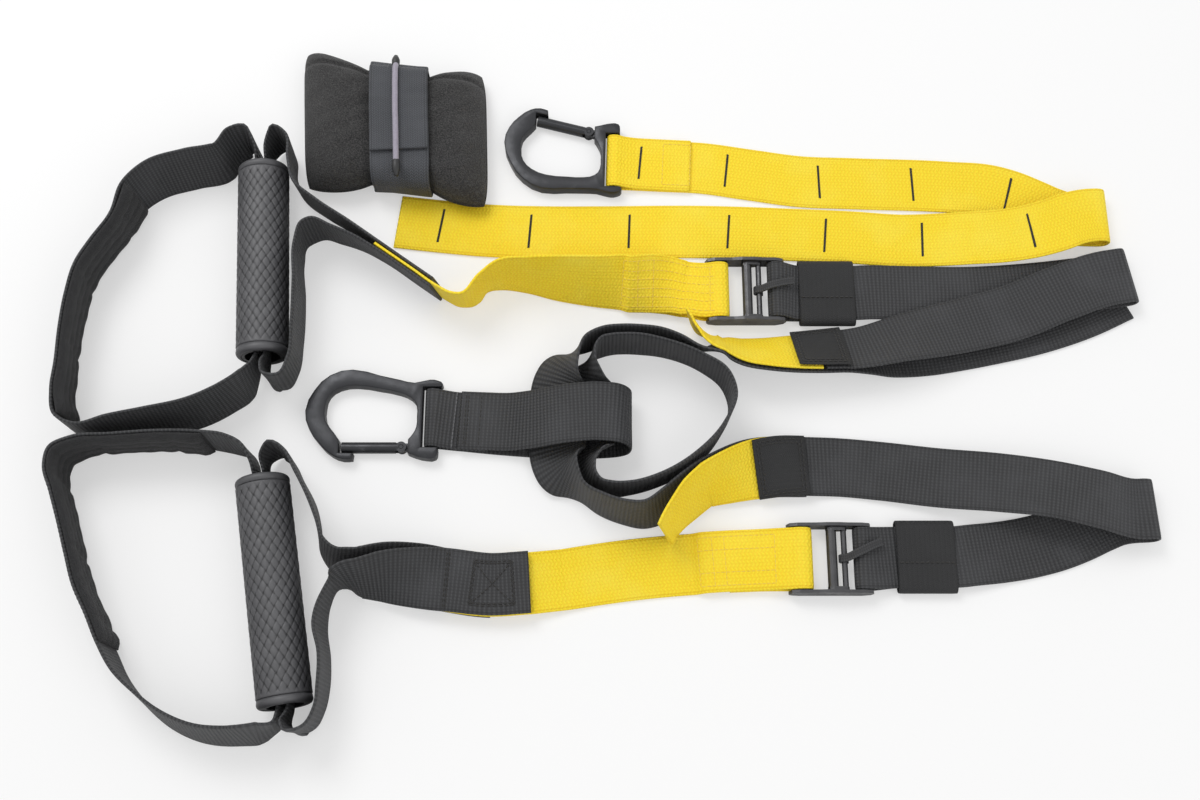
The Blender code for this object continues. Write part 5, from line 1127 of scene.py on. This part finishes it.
def grip_sleeve(letter):
    """A tube whose outside sinks between the strands of a diagonal basket weave, drawn in at both ends."""
    far, near = (np.array(spot(*share, GRIP_RADIUS)) for share in GRIPS[letter])
    along, inset = unit(near - far), COLLAR_LENGTH + CLEARANCE
    length = np.linalg.norm(near - far) - 2 * inset
    turns = np.linspace(0, math.tau, 300, endpoint=False)
    z = np.linspace(0, length, 230)[:, None]
    around = turns / math.tau * GRIP_CELLS
    ends = np.minimum(z, length - z)
    weave = weave_cell(around + z / GRIP_CELL_LENGTH, around - z / GRIP_CELL_LENGTH)
    sunk = (1 - weave) * np.clip(ends / LEVEL_BAND, 0, 1)
    outer = GRIP_RADIUS - STRAND_DEPTH * sunk - RIM_DRAW * np.clip(1 - ends / RIM_LENGTH, 0, 1) ** 2
    inner = np.full((2, len(turns)), TUBE_RADIUS + CLEARANCE)
    z, radii = np.vstack([z, [[length], [0]]]), np.vstack([outer, inner])
    points = turned(far + along * inset, along, z, radii, turns)
    rubber("grip_sleeve_" + letter, "_basket", off_floor(points), np.vstack([1 - sunk, np.ones_like(inner)]))


def collar(letter, side):
    """A grip's end: a short tube of the sleeve's rubber with a soft rounded rim, hollow for the strap."""
    ends = [np.array(spot(*share, GRIP_RADIUS)) for share in GRIPS[letter]]
    here, other = ends if side == "far" else ends[::-1]
    bend = np.linspace(0, math.pi / 2, 9)
    soft, inner = COLLAR_SOFTNESS, TUBE_RADIUS + CLEARANCE
    rim = GRIP_RADIUS - soft + soft * np.cos(bend)
    distances = np.concatenate([[-COLLAR_LENGTH] * 2, soft * np.sin(bend) - soft, [0]])
    radii = np.concatenate([[inner, GRIP_RADIUS - COLLAR_STEP], rim, [inner]])
    turns = np.linspace(0, math.tau, 120, endpoint=False)
    points = turned(here, unit(here - other), distances[:, None], radii[:, None], turns)
    rubber("grip_collar_%s_%s" % (side, letter), "_rim", points, 0.9)


def lining(letter):
    """Padded felt inside a cradle: its rounded section carried along the strap, sunk at each sewn channel."""
    stations, inside = cradle_places(letter)
    route = Route(smooth(stations), spacing=0.0022)
    face = route.face * np.sign(np.sum(route.face * (np.array(inside) - route.middle), 1))[:, None]
    places = np.concatenate([[-1, -0.985], np.linspace(-0.94, 0.94, 27), [0.985, 1]])
    arc = route.arc[:, None]
    full = (1 - np.abs(places) ** 7) ** 0.6
    quilted = 0.35 + 0.65 * np.abs(np.sin(np.pi * (places + 1) * QUILT_CHANNELS)) ** 0.5
    folds = 1 - 0.35 * np.exp(-((arc % FOLD_SPACING - 0.02 + 0.002 * places) / 0.0022) ** 2)
    ends = np.clip(np.minimum(arc, arc[-1] - arc) / 0.004, 0, 1) ** 0.5
    crumple = 1 + 0.10 * np.sin(arc * 410 + places * 3) * np.sin(places * 4 + arc * 130)
    body = full * (0.5 + 0.5 * quilted) * folds * crumple
    depth = LINING_THICKNESS * (0.30 + 0.70 * body) * (0.35 + 0.65 * ends)
    across = places[None] * LINING_WIDTH / 2
    offset = np.full_like(depth, STRAP_THICKNESS / 2 + CLEARANCE)
    top, low = (carried(route.middle, route.side, face, across, rise) for rise in (offset + depth, offset))
    points = off_floor(np.concatenate([top, low[:, ::-1]], 1), LINING_FLOOR)
    node = "cradle_lining_" + letter
    piece = finished(node + "_padding", points, tube_faces(*points.shape[:2]), "lining_felt", flat=2)
    dressed(piece, node, replaces=True)


def pad_surface(a, b):
    """The pad's top and underside at shares across and along: its corners' plan, drawn in at the waist, under a
    top full in each lobe, thin at its seam, creased beside the waist and softly lumped."""
    corner = np.array([tuple(spot(*share)) for share in PAD_CORNER_SHARES])
    away = a - WRAP_PLACE_SHARE
    part = np.abs(away) / np.where(away < 0, WRAP_PLACE_SHARE, 1 - WRAP_PLACE_SHARE)
    near_waist = np.clip((1 - part) / 0.66, 0, 1)
    outer = np.abs(2 * a - 1) ** 10
    far_draw = 0.115 * near_waist ** 1.5 - 0.022 + 0.030 * outer
    near_draw = 0.075 * near_waist ** 3 + 0.015 * near_waist + 0.020 * outer
    bm = (near_draw + b * (1 - near_draw - far_draw))[..., None]
    am = (0.5 + (a - 0.5) * (1 - 2 * (0.022 * np.abs(2 * b - 1) ** 6 - 0.004)))[..., None]
    near, far = (corner[k] * (1 - am) + corner[k + 1] * am for k in (0, 2))
    plan = (near * (1 - bm) + far * bm)[..., :2]
    edge = (1 - np.abs(2 * a - 1) ** 6) ** 0.5 * (1 - np.abs(2 * b - 1) ** 5) ** 0.5
    waist = np.exp(-(away / WAIST_REACH) ** 2)
    lobe = 0.80 + 0.20 * np.sin(np.pi * np.clip(part, 0, 1))
    creases = CREASE_DEPTH * np.exp(-np.abs(away) / WAIST_REACH)
    creases = creases * np.sin(30 * away * (1 + 0.8 * b) + 5 * np.sin(5 * b))
    lumps = (LUMP_HEIGHTS[0] * np.sin(13 * a + 5 * b) * np.sin(11 * b - 4 * a + 1.0)
             + LUMP_HEIGHTS[1] * np.sin(31 * a - 17 * b) * np.sin(23 * b + 7 * a))
    lip = -LIP_SINK * np.exp(-((b - LIP_PLACE - 0.05 * np.sin(3 * a)) / 0.022) ** 2) * (1 - waist)
    base = PLY * (2 - b) + CLEARANCE * 2
    rise = (PAD_HEIGHT - PAD_SEAM_RISE) * lobe - WAIST_SINK * waist + creases + lumps + lip
    return [np.concatenate([plan, level[..., None]], -1)
            for level in (base + PAD_SEAM_RISE + rise * edge, base + PAD_SAG * (1 - edge))]


def door_pad():
    """Two stuffed lobes either side of the wrap, from the pad's surface over a grid."""
    rows, columns = 150, 190
    b, a = np.meshgrid(np.linspace(0, 1, rows), np.linspace(0, 1, columns), indexing="ij")
    count = rows * columns
    upper = grid_faces(rows, columns, closed_columns=False)
    number = np.arange(count).reshape(rows, columns)
    edge = np.concatenate([number[0], number[1:, -1], number[-1, -2::-1], number[-2:0:-1, 0]])
    after = np.roll(edge, -1)
    wall = np.stack([edge, edge + count, after + count, after], -1)
    faces = np.vstack([upper, upper[:, ::-1] + count, wall]).tolist()
    piece = finished("door_pad_stuffed", np.stack(pad_surface(a, b)), faces, "pad_felt")
    dressed(piece, "door_pad", replaces=True)


def door_wrap():
    """The strap round the pad's waist, a strap's rise off it: over the top, down each end and back beneath."""
    half = DOOR_STRAP_WIDTH / 2 / PAD_LENGTH
    b = np.linspace(0, 1, WRAP_ROWS)
    lines = [pad_surface(np.full(WRAP_ROWS, WRAP_PLACE_SHARE + half * k), b) for k in (-1, -0.5, 0, 0.5, 1)]
    over, low = lines[2]
    high = np.max([line[0][:, 2] for line in lines], 0)
    count = np.arange(WRAP_ROWS)
    over[:, 2] = np.max([np.interp(count + step, count, high) for step in (-2, -1, 0, 1, 2)], 0)
    along = unit(np.append(low[-1, :2] - low[0, :2], 0))
    left, right = pad_surface(WRAP_PLACE_SHARE + half * np.array([-1, 1]), np.full(2, 0.5))[0]
    across = unit(np.append((right - left)[:2], 0))
    normal = np.cross(across, unit(np.gradient(over, axis=0)))
    over = over + normal * np.sign(normal[:, 2])[:, None] * WRAP_RISE
    middles = list(over)
    for end, sign in ((WRAP_ROWS - 1, 1), (0, -1)):
        foot = low[end] * (1, 1, 0) + along * sign * (WRAP_RISE + 0.0012)
        base = low[end][2]
        for height, inset in ((over[end][2] - 0.004, 0), (base + 0.001, 0), (base - 0.0022, -0.0022))[::sign]:
            middles.append(foot + along * sign * inset + UP * max(height, WRAP_FLOOR))
    route = [[Vector(middle), Vector(across), DOOR_STRAP_WIDTH] for middle in middles]
    strip("door_strap", route, "grey_webbing", DOOR_STRAP_THICKNESS, closed=True)
    lift = DOOR_STRAP_THICKNESS + 0.0006
    flap = Route([[Vector(point + UP * lift), Vector(across), FLAP_WIDTH] for point in over[8:39]])
    piece = section_mesh("door_strap_flap", flap, DOOR_STRAP_WIDTH, "grey_webbing", rise=FLAP_RISE,
                         ends=np.zeros((len(SECTION_ACROSS), 2)))
    dressed(piece, "door_strap")
    tie(over + UP * (lift + FLAP_RISE + TIE_RADIUS + 0.0003) + across * -0.0015, along)


def tie(rest, along):
    """The tie along the wrap, with a black stop at each end."""
    run = read_at(np.linspace(3, 39, 34), np.arange(WRAP_ROWS), rest)
    dressed(swept("door_tie_cord", run, np.full(34, TIE_RADIUS), "tie_cord"), "door_tie", replaces=True)
    t = np.linspace(0, 1, 12)
    swell = TIE_RADIUS * (1.15 + 0.45 * np.sin(np.pi * np.clip(t * 1.05, 0, 1)) - 0.35 * t)
    for name, at, heading, size in (("door_tie_knob", run[-1], 1, 0.0075),
                                    ("door_tie_stop", run[0], -1, 0.0105)):
        stem = at + along * heading * (t[:, None] * size - 0.0020) - UP * 0.0014 * t[:, None] ** 2
        dressed(swept(name, stem, swell, "hard_plastic"), "door_tie")


def swept(name, path, radius, material, sides=18):
    """A round section carried along a path, drawn in and closed at both ends."""
    ahead = unit(np.gradient(path, axis=0))
    beside = unit(np.cross(ahead, UP))
    above = np.cross(beside, ahead)
    first, last = path[0] - ahead[0] * radius[0] * 0.35, path[-1] + ahead[-1] * radius[-1] * 0.35
    radius = np.concatenate([[radius[0] / 2], radius, [radius[-1] / 2]])[:, None]
    beside, above = (np.vstack([rows[:1], rows, rows[-1:]]) for rows in (beside, above))
    turns = np.linspace(0, math.tau, sides, endpoint=False)
    path = np.vstack([first, path, last])
    points = carried(path, beside, above, radius * np.cos(turns), radius * np.sin(turns))
    return finished(name, points, tube_faces(len(points), sides), material)


def rounded(node):
    """A merged copy of a hard part with its sharp edges rounded over."""
    source = frame["nodes"][node]
    shape = bmesh.new()
    shape.from_mesh(source.data)
    shape.transform(source.matrix_world)
    bmesh.ops.remove_doubles(shape, verts=shape.verts, dist=0.00001)
    bmesh.ops.dissolve_limit(shape, angle_limit=math.radians(1.5), verts=shape.verts, edges=shape.edges)
    sharp = [edge for edge in shape.edges
             if len(edge.link_faces) == 2 and edge.calc_face_angle() > math.radians(28.0)]
    bmesh.ops.bevel(shape, geom=sharp, offset=EDGE_ROUNDING, segments=3, profile=0.5, affect="EDGES",
                    clamp_overlap=True)
    bmesh.ops.triangulate(shape, faces=shape.faces)
    points = np.array([vertex.co for vertex in shape.verts])
    faces = np.array([[vertex.index for vertex in face.verts] for face in shape.faces])
    shape.free()
    # Blender may list the triangles in another order each run: lowest corner first, then sorted
    order = (np.arange(3) + np.argmin(faces, 1)[:, None]) % 3
    faces = sorted(np.take_along_axis(faces, order, 1).tolist())
    dressed(finished(node + "_rounded", points, faces, SLOT_OF[node]), node, replaces=True)


def main():
    """Every finish, strap, pad, seam and small part in turn."""
    for step in (all_materials, studio, leg_straps, adjust_straps, keepers, pull_loops, crossing_straps,
                 pinned_straps, handle_straps, door_wrap):
        step()
    for letter in "ab":
        grip_sleeve(letter)
    for letter in "ab":
        collar(letter, "far")
        collar(letter, "near")
    for letter in "ab":
        lining(letter)
    door_pad()
    rounded("main_carabiner_body")
    rounded("anchor_carabiner_body")
    sewing()
    lining_seams()
    for node, piece in frame["nodes"].items():
        finish = SLOT_OF[node]
        if finish in MATERIALS:
            piece.data.materials.clear()
            piece.data.materials.append(MATERIALS[finish])


main()
